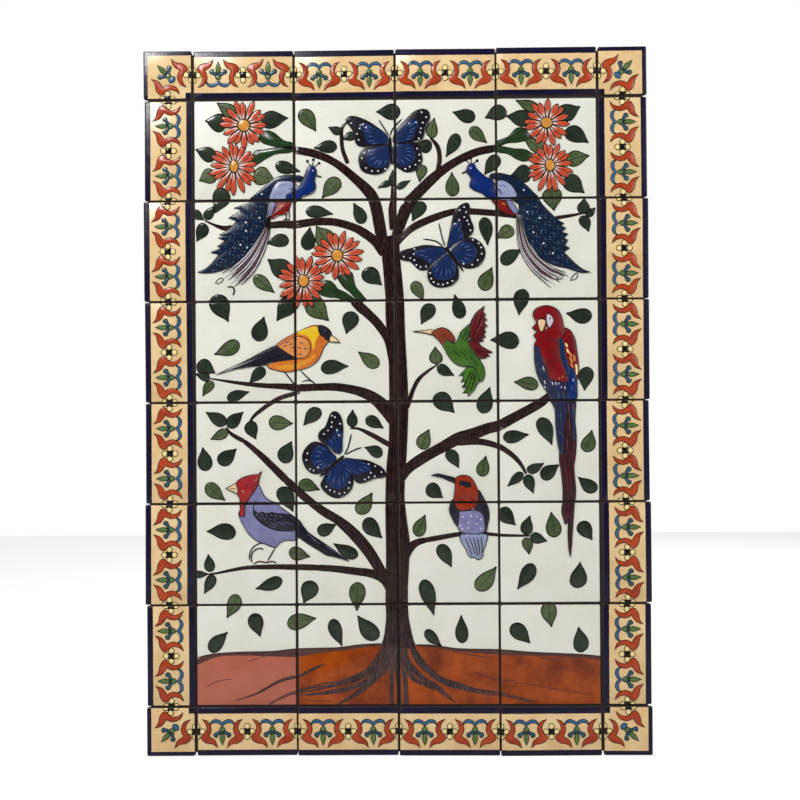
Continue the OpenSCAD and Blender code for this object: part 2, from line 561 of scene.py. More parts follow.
def sideways(line, index, closed):
    """The direction across a line at one of its points, lengthened a little at a corner."""
    count = len(line)
    here = line[index]
    before = line[index - 1] if closed or index > 0 else here
    after = line[(index + 1) % count] if closed or index < count - 1 else here
    arriving = (here - before).normalized() if (here - before).length > 0 else (after - here).normalized()
    leaving = (after - here).normalized() if (after - here).length > 0 else arriving
    heading = (arriving + leaving).normalized() if (arriving + leaving).length > 0.01 else leaving
    stretch = 1 / max(0.5, heading.dot(leaving))
    return Vector((heading.y, -heading.x)) * stretch


print("marks on every point:", ", ".join(MARKS))


# %% [markdown]
# Three kinds of shape make the whole picture. A bead is a half-round line. A pool fills an
# outline and rounds over at its rim. A blade is a leaf or a petal: it runs from a root to a tip
# and bulges across, so glaze can be shaded along it.

# %% Beads
NOSE = ((-1.0, None), (-0.82, 0.58), (0.0, 1.0), (0.82, 0.58), (1.0, None))


def bead(family, glaze_name, line, width, rise, base=0.0, closed=False, ends=0.35, tone=0.0):
    """A half-round line. Its width is a number, or None to take the widths of the line itself."""
    points = [point for point, own in line]
    broad = [own if width is None else width for point, own in line]
    widest = max(broad)
    rings = []
    for index, point in enumerate(points):
        across = sideways(points, index, closed)
        half = broad[index] / 2
        last = not closed and index in (0, len(points) - 1)
        if last:
            half *= ends
        crown = rise * max(half * 2 / widest, 0.4)
        run = index / len(points)
        ring = []
        for side, lift in NOSE:
            height = -SINK if lift is None else base + crown * lift
            edge = point + across * half * side
            ring.append((edge.x, edge.y, height, run, abs(side), lift or 0.0))
        rings.append(ring)
    skin(family, glaze_name, rings, closed, tone)


print("points round a bead:", len(NOSE))


# %% Pools
def inset(points, distance):
    """An outline moved inwards, by less where it is narrow, so that it never folds over itself."""
    area = sum(a.x * b.y - b.x * a.y for a, b in zip(points, points[1:] + points[:1]))
    turn = -1 if area > 0 else 1
    count = len(points)
    moved = []
    for index, point in enumerate(points):
        across = [points[(index + step) % count] for step in range(3, count - 2)]
        room = min(((point - other).length for other in across), default=distance * 4)
        moved.append(point + sideways(points, index, True) * min(distance, room * 0.25) * turn)
    return moved


def pool(family, glaze_name, points, rise=0.5 * MM, base=0.0, rim=0.7 * MM, tone=0.0):
    """Glaze that fills an outline, rounded at its rim."""
    steps = ((0.0, -SINK, 0.0), (0.0, base + rise * 0.45, 0.3), (rim, base + rise, 1.0))
    rings = []
    for distance, height, crest in steps:
        rings.append([(p.x, p.y, height, 0.5, 1 - crest, 0.4) for p in inset(points, distance)])
    skin(family, glaze_name, rings, False, tone)


square = [Vector(corner) for corner in ((0, 0), (1, 0), (1, 1), (0, 1))]
print("a square's first corner, moved in by a tenth:", inset(square, 0.1)[0])

# %% Blades
SECTION = ((-1.0, None), (-1.0, 0.2), (-0.6, 0.85), (0.0, 1.0), (0.6, 0.85), (1.0, 0.2), (1.0, None))


def blade(family, glaze_name, root, tip, width, profile, rise, base=0.0, bend=0.0, tone=0.0):
    """A leaf or petal from root to tip. Returns its outline."""
    axis = tip - root
    across = Vector((axis.y, -axis.x)).normalized()
    rings = []
    left, right = [], []
    for along, part in profile:
        middle = root + axis * along + across * bend * width * math.sin(math.pi * along)
        half = width / 2 * part
        ring = []
        for side, lift in SECTION:
            height = -SINK if lift is None else base + rise * lift * min(1.0, 0.35 + part)
            edge = middle + across * half * side
            ring.append((edge.x, edge.y, height, along, abs(side), 0.4))
        rings.append(ring)
        left.append(middle - across * half)
        right.append(middle + across * half)
    skin(family, glaze_name, rings, False, tone)
    return left + right[::-1]


print("points across a blade:", len(SECTION))


# %% Drawing from words
def line_of(points, width=0.0):
    """Bare points as a line that bead can follow."""
    return [(point, width) for point in points]


def draw(
    text, width=1.6 * MM, rise=1.2 * MM, base=0.0, family="lines", glaze_name="line", steps=4, closed=False
):
    """A drawn line of even width, or with its own widths if width is None."""
    bead(family, glaze_name, smooth(read_points(text), closed, steps), width, rise, base, closed)


def fill(family, glaze_name, text, base=0.0, rise=0.5 * MM, edge=1.6 * MM, edge_rise=1.1 * MM, steps=4):
    """A pool with a dark bead round it."""
    points = outline(text, steps)
    pool(family, glaze_name, points, rise, base)
    if edge:
        bead("lines", "line", line_of(points), edge, edge_rise, base, closed=True)
    return points


print("shapes so far:", len(shapes))


# %% [markdown]
# Over a hundred leaves fill the crown. The dark ones are plain. The light ones were scratched
# with a middle rib and slanting veins. Each needs a tip, the end where it is broadest and a
# width, and all of them share one profile from the tip to the end.

# %% Leaves
LEAF = (
    (0.0, 0.03),
    (0.06, 0.11),
    (0.15, 0.27),
    (0.27, 0.53),
    (0.40, 0.79),
    (0.54, 0.96),
    (0.68, 1.0),
    (0.80, 0.93),
    (0.90, 0.73),
    (0.97, 0.42),
    (1.0, 0.14),
)
print("places along a leaf:", len(LEAF))


# %% Where the leaves lie
DARK_LEAVES = """
.125,5.795 .33,5.76 .18 | .94,5.815 .68,5.78 .17 | .025,5.51 .21,5.42 .14 | .215,4.885 .30,5.12 .17
1.055,5.285 .82,5.35 .12 | 1.20,5.515 1.42,5.53 .12 | 1.345,5.72 1.47,5.67 .08 | 1.48,5.60 1.61,5.64 .085
1.82,5.87 2.05,5.87 .155 | 2.575,5.86 2.79,5.80 .13 | 2.895,5.80 3.10,5.87 .15 | 2.505,5.42 2.62,5.64 .12
2.21,5.56 2.355,5.50 .13 | 2.885,5.24 3.02,5.42 .13 | 2.145,5.185 2.02,5.11 .06 | 1.83,5.115 1.96,5.17 .06
1.975,5.29 1.975,5.13 .07 | 3.105,5.815 3.34,5.78 .16 | 3.83,5.90 3.62,5.82 .17 | 3.91,5.545 3.69,5.67 .16
3.15,5.23 3.34,5.24 .17 | 3.865,5.05 3.68,5.20 .17 | 3.865,4.99 3.86,4.84 .12
3.97,4.895 3.885,4.825 .075 | 3.905,4.665 3.84,4.815 .105 | .10,4.815 -.01,4.90 .085
.205,4.95 .115,4.825 .09 | .03,4.605 .11,4.775 .12 | .725,4.575 .94,4.61 .125 | .735,4.415 .95,4.28 .19
.335,3.805 .20,4.06 .19 | .82,3.81 1.0,4.03 .18 | 1.375,4.862 1.115,4.89 .115 | 1.585,4.965 1.68,4.77 .12
1.15,4.73 1.12,4.51 .135 | 1.855,4.155 1.68,4.30 .16 | 2.17,4.785 2.28,4.965 .13
2.91,4.54 2.875,4.81 .125 | 2.58,4.05 2.645,3.82 .125 | 2.25,3.765 2.36,3.955 .135
3.24,4.49 3.045,4.36 .13 | 3.21,3.85 3.26,4.095 .145 | .69,3.845 .625,3.61 .155 | .20,3.295 .03,3.39 .145
.01,3.285 .145,3.24 .085 | .535,3.105 .325,3.035 .10 | .545,3.195 .69,3.335 .11
1.505,3.675 1.575,3.885 .155 | 1.52,3.35 1.255,3.33 .135 | 2.565,3.255 2.41,3.345 .10
2.565,2.89 2.38,3.06 .17 | 2.92,3.13 2.84,2.885 .15 | 2.935,3.60 3.205,3.585 .165
3.68,3.86 3.925,3.83 .145 | 3.85,3.10 3.885,3.325 .14 | .11,2.905 .305,2.79 .12 | .475,2.905 .33,2.76 .12
.60,2.64 .54,2.81 .125 | .955,2.61 .87,2.405 .15 | .075,2.555 .105,2.33 .14 | .405,2.54 .235,2.40 .14
.965,1.925 .84,2.155 .155 | 1.08,2.775 1.24,2.93 .13 | 1.565,2.92 1.56,2.755 .10
1.865,2.74 1.70,2.84 .11 | 1.685,2.55 1.85,2.475 .11 | 2.605,2.345 2.50,2.515 .115
2.445,2.05 2.30,2.17 .14 | 3.295,2.665 3.05,2.635 .12 | 3.525,2.565 3.41,2.825 .145
3.44,2.38 3.285,2.305 .09 | 3.59,2.365 3.425,2.235 .13 | 3.09,2.16 3.235,2.285 .085
3.34,2.09 3.28,2.265 .105 | 3.785,2.24 3.96,2.11 .125 | .115,1.73 .395,1.715 .155
.125,1.50 .145,1.335 .10 | .085,1.12 .175,1.295 .10 | .12,1.31 -.02,1.31 .065 | .595,1.16 .85,1.25 .12
1.07,1.02 1.165,1.225 .165 | 1.39,1.79 1.215,1.71 .12 | 1.37,1.60 1.60,1.475 .12
1.845,1.655 1.68,1.84 .15 | 2.525,1.365 2.41,1.58 .13 | 2.35,.895 2.25,1.235 .145
3.16,1.775 3.02,1.935 .14 | 3.305,1.86 3.265,1.68 .115 | 3.47,1.615 3.315,1.665 .10
3.915,1.625 3.80,1.795 .14 | 3.18,1.145 3.335,1.385 .14 | 3.795,1.40 3.755,1.155 .16
.31,.73 .14,.545 .13 | .635,.69 .57,.91 .145 | 1.44,.595 1.345,.85 .125 | 1.60,.885 1.79,.66 .16
2.42,.59 2.27,.74 .10 | 2.62,.885 2.63,.62 .12 | 3.295,.615 3.12,.79 .15 | 3.775,.765 3.80,.525 .145
"""
LIGHT_LEAVES = """
.24,5.97 .42,5.85 .13 | 1.215,5.685 1.07,5.89 .15 | .06,5.20 .22,5.26 .15 | .80,5.205 .60,5.25 .18
1.275,5.02 1.44,5.21 .15 | 2.905,5.555 2.75,5.70 .12 | 2.39,5.80 2.36,5.61 .11 | 2.24,5.175 2.28,5.335 .10
2.56,5.26 2.57,5.03 .13 | 3.20,5.97 3.42,5.88 .11 | 3.27,5.60 3.45,5.47 .12 | 3.915,5.415 3.70,5.36 .15
3.565,4.875 3.55,5.10 .19 | .795,4.09 .60,4.25 .125 | 1.215,4.74 1.36,4.56 .19 | 1.33,3.805 1.14,4.03 .20
2.95,4.315 2.86,4.095 .145 | 2.27,4.0 2.175,4.18 .115 | 3.0,4.605 3.16,4.70 .13 | .20,3.48 .44,3.59 .14
.08,3.07 .175,3.21 .09 | 1.625,3.49 1.82,3.35 .13 | 2.385,3.535 2.40,3.37 .125 | 3.16,3.185 3.39,3.15 .125
.155,2.64 .32,2.72 .095 | .965,2.79 .735,2.805 .14 | .29,2.035 .11,2.19 .135 | 1.23,2.135 1.03,2.20 .12
1.75,2.10 1.61,1.90 .14 | 2.315,2.72 2.235,2.535 .135 | 2.875,2.455 2.83,2.26 .12
3.92,2.70 3.855,2.495 .135 | .31,.875 .41,1.10 .135 | 1.13,1.475 .93,1.53 .125 | 1.59,.94 1.605,1.215 .155
2.27,1.875 2.19,1.67 .125 | 2.965,1.36 2.775,1.14 .155 | 3.295,1.485 3.265,1.645 .10
3.515,1.895 3.55,1.655 .145 | 3.51,.775 3.48,1.01 .15 | 1.185,.865 .91,.80 .15
"""


def read_leaves(text):
    """Tip, end and width of each leaf in a list."""
    for words in text.replace("\n", "|").split("|"):
        if words.strip():
            tip, end, width = words.split()
            yield read_points(tip)[0][0], read_points(end)[0][0], float(width) * PITCH


print("dark and light leaves:", [len(list(read_leaves(text))) for text in (DARK_LEAVES, LIGHT_LEAVES)])


# %% Drawing the leaves
def add_leaf(glaze_name, tip, end, width, index):
    """One leaf with its dark outline. Neighbours differ a little in tone and curve."""
    bend = 0.07 * math.sin(index * 2.4)
    tone = 0.09 * math.sin(index * 1.7)
    rim = blade("leaves", glaze_name, tip, end, width, LEAF, 0.8 * MM, bend=bend, tone=tone)
    bead("lines", "line", line_of(rim), 1.7 * MM, 1.2 * MM, closed=True)
    return bend


def add_veins(tip, end, width, bend):
    """The scratched rib and veins of a light leaf."""
    axis = end - tip
    across = Vector((axis.y, -axis.x)).normalized()
    rib = [
        tip + axis * t + across * bend * width * math.sin(math.pi * t)
        for t in (0.06, 0.25, 0.5, 0.75, 0.96)
    ]
    bead("lines", "leaf", line_of(rib), 1.3 * MM, 0.5 * MM, 0.7 * MM)
    for t, reach in ((0.36, 0.6), (0.50, 0.8), (0.64, 0.9), (0.78, 0.85), (0.9, 0.6)):
        start = tip + axis * t + across * bend * width * math.sin(math.pi * t)
        for side in (-1, 1):
            stop = start - axis * 0.11 + across * side * reach * width * 0.46
            bead("lines", "leaf", line_of([start, stop]), 1.2 * MM, 0.5 * MM, 0.6 * MM)


for index, (tip, end, width) in enumerate(read_leaves(DARK_LEAVES)):
    add_leaf("leaf", tip, end, width, index)
for index, (tip, end, width) in enumerate(read_leaves(LIGHT_LEAVES)):
    add_veins(tip, end, width, add_leaf("light_leaf", tip, end, width, index))
print("leaves:", sum(shape["family"] == "leaves" for shape in shapes))

# %% [markdown]
# The flowers are daisies. Their petals stand round a yellow middle, a little uneven, and each
# second petal lies over its neighbours. A flower has four reaches, to the right, up, left and
# down, so that a flower seen from one side is longer there.

# %% Flowers
PETAL = (
    (0.0, 0.3), (0.15, 0.42), (0.35, 0.72), (0.55, 0.95), (0.70, 1.0), (0.82, 0.86), (0.92, 0.5), (1.0, 0.08)
)


def round_line(middle, across, up, count=24):
    """Points round an ellipse."""
    turns = [2 * math.pi * index / count for index in range(count)]
    return [middle + Vector((across * math.cos(turn), up * math.sin(turn))) for turn in turns]


def add_flower(u, v, disc, reaches, count, start, lift=0.0):
    """A daisy with its middle at u, v. Disc holds the two radii of the middle, in tiles."""
    middle = spot(u, v)
    broad = 2 * math.pi * 0.62 * sum(reaches) / 4 * PITCH / count
    for index in range(count):
        turn = 2 * math.pi * (index + 0.16 * math.sin(index * 2.1 + start)) / count + start
        aim = Vector((math.cos(turn), math.sin(turn)))
        wide = reaches[0] if aim.x > 0 else reaches[2]
        tall = reaches[1] if aim.y > 0 else reaches[3]
        reach = PITCH / math.hypot(aim.x / wide, aim.y / tall) * (1 + 0.07 * math.sin(index * 2.7 + start))
        root = PITCH / math.hypot(aim.x / disc[0], aim.y / disc[1]) * 0.8
        over = lift + (0.3 if index % 2 else 0.9) * MM
        tone = 0.06 * math.sin(index * 1.9)
        rim = blade(
            "flowers",
            "petal",
            middle + aim * root,
            middle + aim * reach,
            broad,
            PETAL,
            0.8 * MM,
            over,
            tone=tone,
        )
        bead("lines", "petal_line", line_of(rim), 1.5 * MM, 1.0 * MM, over, closed=True)
    ring = round_line(middle, disc[0] * PITCH, disc[1] * PITCH)
    pool("flowers", "disc", ring, 1.2 * MM, lift + 1.1 * MM, rim=1.6 * MM)
    bead("lines", "line", line_of(ring), 2.4 * MM, 1.2 * MM, lift + 1.1 * MM, closed=True)


CALYXES = (
    ".66,5.64 .72,5.69 .80,5.67 .90,5.59 1.0,5.56 1.0,5.51 .88,5.52 .75,5.55 .68,5.58",
    ".58,5.42 .62,5.49 .70,5.50 .82,5.52 .98,5.53 .98,5.48 .82,5.46 .70,5.40 .62,5.36",
    "3.33,5.60 3.28,5.69 3.20,5.69 3.12,5.61 3.0,5.56 3.0,5.52 3.12,5.55 3.24,5.56",
    "3.36,5.42 3.29,5.48 3.18,5.49 3.08,5.51 3.0,5.52 3.0,5.47 3.12,5.44 3.22,5.38 3.30,5.37",
    "1.42,4.26 1.48,4.29 1.56,4.28 1.58,4.21 1.60,4.14 1.67,4.05 1.70,4.0 1.62,4.0 1.55,4.08 1.47,4.15",
    "1.25,4.18 1.34,4.20 1.40,4.15 1.42,4.12 1.50,4.08 1.58,4.02 1.60,3.99 1.52,3.99 1.42,4.03 "
    "1.33,4.04 1.24,4.08",
)
for text in CALYXES:
    fill("leaves", "calyx", text, base=0.1 * MM, rise=0.8 * MM)
add_flower(0.505, 5.745, (0.060, 0.060), (0.225, 0.245, 0.235, 0.215), 16, 0.0)
add_flower(0.405, 5.34, (0.042, 0.062), (0.230, 0.230, 0.245, 0.285), 19, 0.1)
add_flower(3.50, 5.745, (0.055, 0.055), (0.225, 0.225, 0.220, 0.220), 16, 0.3)
add_flower(3.53, 5.325, (0.045, 0.060), (0.220, 0.215, 0.220, 0.270), 18, 0.1)
add_flower(1.42, 4.45, (0.055, 0.060), (0.260, 0.235, 0.250, 0.225), 17, 0.15)
add_flower(1.085, 4.20, (0.052, 0.060), (0.200, 0.250, 0.250, 0.280), 18, 0.2, 1.0 * MM)
print("petals:", sum(shape["glaze"] == "petal" for shape in shapes))

# %% [markdown]
# The bark is drawn with long ridges that run along each limb. A limb is one low dark base with
# several ridges on it, which wander a little and thin out as the limb does.


# %% Limbs
def add_limb(text, ridges=3, steps=4, glaze_name="bark", broader=1.0):
    """A branch through points u,v,width, with ridges along it."""
    line = [(point, width * broader) for point, width in smooth(read_points(text), False, steps)]
    bead("bark", glaze_name, line, None, 0.75 * MM, ends=0.9)
    points = [point for point, width in line]
    for ridge in range(ridges):
        share = (ridge + 0.5) / ridges - 0.5
        shifted = []
        for index, (point, width) in enumerate(line):
            drift = 0.05 * math.sin(index * 0.55 + ridge * 2.2)
            shift = sideways(points, index, False) * width * (share + drift) * 0.86
            shifted.append((point + shift, width * 0.8 / ridges))
        bead("bark", glaze_name, shifted, None, 0.85 * MM, 0.4 * MM, ends=0.6)


BIG_LIMBS = (
    "1.0,5.50,.085 1.2,5.46,.09 1.4,5.37,.085 1.6,5.21,.10 1.75,5.06,.125 1.80,4.95,.13 1.84,4.75,.13 "
    "1.88,4.5,.12",
    "3.0,5.50,.085 2.8,5.46,.09 2.6,5.37,.09 2.45,5.27,.10 2.3,5.14,.12 2.16,5.0,.14 2.07,4.82,.13 "
    "2.0,4.6,.12",
    "3.56,3.08,.07 3.5,3.04,.09 3.42,2.98,.10 3.3,2.91,.105 3.15,2.83,.11 3.0,2.755,.115 2.9,2.73,.12 "
    "2.75,2.675,.13 2.6,2.63,.135 2.45,2.55,.12 2.3,2.47,.12 2.2,2.41,.12 2.1,2.33,.11 2.02,2.22,.10",
    ".9,2.23,.085 1.0,2.14,.09 1.1,2.05,.09 1.2,1.97,.09 1.3,1.90,.10 1.4,1.84,.10 1.5,1.76,.12 "
    "1.6,1.66,.13 1.7,1.54,.13 1.79,1.40,.12 1.87,1.25,.11 1.93,1.10,.06",
    "1.0,3.14,.085 1.2,3.145,.08 1.4,3.145,.09 1.6,3.11,.10 1.75,3.05,.12 1.88,2.94,.15 1.97,2.80,.12",
    "1.58,4.0,.10 1.65,3.93,.11 1.75,3.84,.10 1.84,3.74,.10 1.92,3.60,.09 1.95,3.4,.07",
    "2.28,1.63,.06 2.2,1.61,.075 2.12,1.56,.10 2.07,1.46,.09",
)
MIDDLE_LIMBS = (
    ".76,4.755,.075 .9,4.765,.085 1.0,4.76,.09 1.2,4.785,.085 1.4,4.78,.085 1.6,4.72,.09 1.7,4.66,.10 "
    "1.8,4.58,.10 1.88,4.46,.10",
    "3.2,4.82,.06 3.1,4.84,.07 2.8,4.87,.07 2.6,4.875,.07 2.4,4.82,.08 2.2,4.735,.08 2.1,4.665,.08 "
    "2.0,4.56,.08",
    "1.2,1.365,.07 1.4,1.35,.075 1.6,1.325,.085 1.75,1.30,.095 1.86,1.24,.09 1.93,1.14,.05",
    ".48,2.62,.05 .58,2.54,.06 .7,2.43,.075 .8,2.33,.08 .9,2.23,.085",
    "2.6,2.58,.05 2.75,2.60,.07 2.85,2.595,.07 2.98,2.56,.065 3.05,2.525,.06 3.15,2.45,.055 "
    "3.22,2.37,.045 3.27,2.28,.03",
)
THIN_LIMBS = (
    "1.53,5.77,.02 1.48,5.72,.04 1.47,5.65,.04 1.48,5.5,.045 1.53,5.36,.05",
    "2.35,5.61,.03 2.42,5.52,.05 2.44,5.40,.05 2.42,5.28,.05",
    "1.97,5.14,.025 1.97,5.0,.05 1.96,4.9,.07 1.97,4.7,.07",
    ".11,4.81,.015 .2,4.765,.03 .30,4.73,.055 .38,4.735,.065",
    "3.58,4.80,.045 3.75,4.825,.035 3.87,4.85,.02",
    ".15,3.24,.015 .3,3.215,.03 .5,3.185,.045 .7,3.165,.055 .9,3.155,.07 1.0,3.14,.085",
    "1.04,3.10,.04 .95,3.075,.05 .85,3.045,.05 .75,2.99,.05 .65,2.92,.045 .58,2.86,.035 .54,2.80,.025",
    "2.10,2.94,.05 2.13,3.02,.05 2.17,3.13,.045 2.22,3.22,.045 2.3,3.29,.035 2.41,3.365,.015",
    "1.54,2.74,.02 1.62,2.735,.03 1.72,2.69,.05 1.82,2.635,.055 1.93,2.57,.06",
    ".31,2.76,.02 .33,2.72,.03 .38,2.675,.045 .48,2.62,.05",
    ".11,1.305,.015 .2,1.315,.025 .35,1.345,.035 .5,1.37,.045 .7,1.375,.055 .9,1.375,.06 1.2,1.365,.07",
    "3.31,1.665,.015 3.25,1.667,.025 3.0,1.675,.035 2.75,1.70,.045 2.6,1.685,.05 2.45,1.66,.055 "
    "2.28,1.63,.06",
)
for text in BIG_LIMBS:
    add_limb(text, 4)
for text in MIDDLE_LIMBS:
    add_limb(text, 3)
for text in THIN_LIMBS:
    add_limb(text, 2)
print("limbs:", len(BIG_LIMBS) + len(MIDDLE_LIMBS) + len(THIN_LIMBS))

# %% [markdown]
# The trunk is one long dark band between its two edges. Its strands run from the crown to the
# ground and never quite touch, so each strand keeps its share of the way across.

# %% Trunk
LEFT_EDGE = read_points(
    "1.83,4.62 1.86,4.45 1.88,4.2 1.895,4.0 1.90,3.8 1.92,3.5 1.925,3.1 1.92,2.6 1.90,2.4 1.885,2.0 "
    "1.885,1.5 1.88,1.2 1.875,1.0 1.88,.85 1.865,.7 1.84,.58"
)
RIGHT_EDGE = read_points(
    "2.03,4.66 2.04,4.45 2.06,4.25 2.08,4.0 2.085,3.8 2.095,3.5 2.11,3.0 2.095,2.5 2.08,2.3 2.07,2.02 "
    "2.11,1.65 2.10,1.4 2.095,1.1 2.10,.9 2.13,.68 2.16,.56"
)
left_line = [point for point, width in smooth(LEFT_EDGE, False, 3)]
right_line = [point for point, width in smooth(RIGHT_EDGE, False, 3)]
TRUNK_SECTION = (
    (0.0, -SINK), (0.0, 0.5 * MM), (0.12, 0.9 * MM), (0.88, 0.9 * MM), (1.0, 0.5 * MM), (1.0, -SINK)
)
rings = []
for left, right in zip(left_line, right_line):
    ring = []
    for share, height in TRUNK_SECTION:
        at = left.lerp(right, share)
        ring.append((at.x, at.y, height, 0.5, 0.0, 0.2))
    rings.append(ring)
skin("bark", "bark", rings)
STRANDS = 8
for strand in range(STRANDS):
    line = []
    for index, (left, right) in enumerate(zip(left_line, right_line)):
        share = (strand + 0.5 + 0.28 * math.sin(index * 0.42 + strand * 1.9)) / STRANDS
        line.append((left.lerp(right, share), (right - left).length / STRANDS * 0.86))
    bead("bark", "bark", line, None, 1.1 * MM, 0.6 * MM, ends=0.5)
print("trunk strands:", STRANDS)

# %% [markdown]
# The trunk stands on a bank of red earth with a dark edge, and its roots run out over the bank.
# The roots are drawn like thin limbs. The first tile's earth is paler and pinker: the earth with a painted
# sheen of light over it.

# %% Earth and roots
# The first tile's earth takes the paler glaze, a painted sheen of light.
EARTH_AND_SHEEN = "-.05,.44! .08,.50 .2,.52 .45,.535 .75,.54 .996,.565! .996,-.05! -.05,-.05!"
EARTH = (
    ".996,.565! 1.2,.57 1.4,.575 1.6,.60 1.85,.615 2.15,.60 2.3,.60 2.45,.58 2.6,.56 3.0,.55 3.3,.525 "
    "3.6,.51 3.8,.50 4.05,.475! 4.05,-.05! .996,-.05!"
)
EARTH_EDGES = (
    "-.05,.42! .08,.50 .2,.52 .45,.535 .75,.54 1.0,.565 1.2,.57 1.4,.575 1.6,.60 1.84,.615! 1.82,.59! "
    "1.6,.565 1.4,.54 1.2,.52 1.0,.485 .75,.49 .45,.50 .2,.485 -.05,.38!",
    "2.14,.60! 2.3,.60 2.45,.58 2.6,.56 3.0,.55 3.3,.525 3.6,.51 3.8,.50 4.05,.475! 4.05,.43! 3.8,.465 "
    "3.3,.49 3.0,.50 2.6,.53 2.4,.565 2.2,.585!",
)
fill("ground", "earth_and_sheen", EARTH_AND_SHEEN, edge=0)
fill("ground", "earth", EARTH, edge=0)
for text in EARTH_EDGES:
    fill("ground", "dark_earth", text, base=0.25 * MM, edge=0)
draw(
    "-.05,.46 .08,.50 .2,.52 .45,.535 .75,.54 1.0,.565 1.2,.57 1.4,.575 1.6,.60 1.85,.615",
    1.2 * MM,
    1.4 * MM,
)
draw("2.15,.60 2.3,.60 2.45,.58 2.6,.56 3.0,.55 3.3,.525 3.6,.51 3.8,.50 4.05,.475", 1.2 * MM, 1.4 * MM)
ROOTS = (
    (".72,.02,.015 .8,.06,.02 .9,.11,.025 1.0,.14,.035 1.1,.165,.045 1.25,.195,.055 1.4,.22,.055 "
     "1.5,.25,.06 1.6,.28,.07 1.7,.34,.075 1.78,.43,.07 1.85,.55,.06 1.90,.75,.05 1.92,.95,.03", 3),
    ("1.0,.11,.015 1.2,.12,.03 1.35,.14,.04 1.5,.17,.045 1.62,.21,.05 1.72,.27,.05 1.82,.37,.05 "
     "1.9,.52,.05 1.94,.75,.04", 2),
    ("1.38,.01,.02 1.5,.07,.035 1.6,.13,.045 1.7,.21,.05 1.8,.29,.05 1.88,.38,.05 1.95,.55,.05 "
     "1.97,.8,.03", 2),
    (".38,.05,.01 .5,.09,.015 .6,.125,.02 .7,.18,.025 .8,.235,.03 .9,.27,.03 1.03,.30,.03 1.1,.335,.03 "
     "1.2,.385,.025 1.28,.41,.01", 2),
    ("3.35,.03,.02 3.15,.08,.03 3.0,.115,.04 2.8,.14,.05 2.6,.19,.06 2.45,.24,.06 2.35,.30,.065 "
     "2.25,.39,.07 2.17,.5,.07 2.12,.65,.05 2.08,.9,.03", 3),
    ("2.56,.03,.02 2.45,.12,.04 2.35,.20,.05 2.25,.26,.055 2.16,.34,.055 2.08,.46,.05 2.05,.7,.04", 3),
    ("2.35,.15,.02 2.25,.21,.03 2.15,.265,.045 2.09,.35,.05 2.05,.5,.04", 2),
    ("1.93,-.03,.05 1.93,.15,.045 1.935,.35,.045 1.95,.6,.045 1.95,.9,.03", 2),
    ("2.0,-.03,.05 2.0,.2,.05 1.99,.4,.05 2.0,.65,.05 2.0,.9,.03", 2),
    ("2.07,-.03,.05 2.07,.15,.05 2.055,.35,.05 2.04,.6,.05 2.04,.9,.03", 2),
)
for text, ridges in ROOTS:
    add_limb(text, ridges, glaze_name="root", broader=1.3)
FINE_ROOTS = (
    "2.5,.54 2.7,.50 2.92,.465",
    "2.74,.33 2.85,.29 3.0,.255 3.15,.25",
    "3.12,.215 3.25,.215 3.5,.17 3.7,.135 3.92,.105",
    "3.33,.50 3.45,.46 3.62,.44",
    ".52,.44 .6,.47 .75,.51",
    ".10,.20 .22,.25 .36,.27",
    "1.04,.07 1.2,.05 1.34,.05",
)
for text in FINE_ROOTS:
    bead("ground", "dark_earth", smooth(read_points(text), False, 4), 1.6 * MM, 1.0 * MM, 0.2 * MM)
print("roots:", len(ROOTS) + len(FINE_ROOTS))

# %% [markdown]
# A butterfly wing is a black shape with a blue one inside it, drawn in towards the body. Pale
# streaks and dark veins fan out from the body, and white dots sit in the black edge.


# %% Wing and dot helpers
def dots(family, glaze_name, text, radius, base):
    """Small round drops of glaze."""
    for point, width, sharp in read_points(text):
        pool(family, glaze_name, round_line(point, radius, radius, 7), 0.5 * MM, base, rim=radius * 0.45)


def add_wing(root, text, inner, streaks):
    """One wing. Root is where it joins the body, and inner is how far out the blue reaches."""
    start = spot(*root)
    rim = fill("butterflies", "wing_black", text, 1.4 * MM, 0.45 * MM, 1.5 * MM, 0.7 * MM)
    smaller = [start + (point - start) * inner for point in rim]
    pool("butterflies", "wing_blue", smaller, 0.45 * MM, 1.65 * MM)
    for streak in range(streaks):
        share = 0.2 + 0.6 * (streak + 0.5) / streaks
        aim = rim[int(share * len(rim))] - start
        pale = [start + aim * far for far in (0.42, 0.55, inner * 0.94)]
        bead("butterflies", "wing_streak", line_of(pale), 1.0 * MM, 0.4 * MM, 1.9 * MM)
        aim = rim[int((share - 0.3 / streaks) * len(rim))] - start
        vein = [start + aim * far for far in (0.1, 0.5, 0.88)]
        bead("lines", "wing_black", line_of(vein), 0.8 * MM, 0.55 * MM, 1.9 * MM)


print("wings and dots are outlined like all the rest")

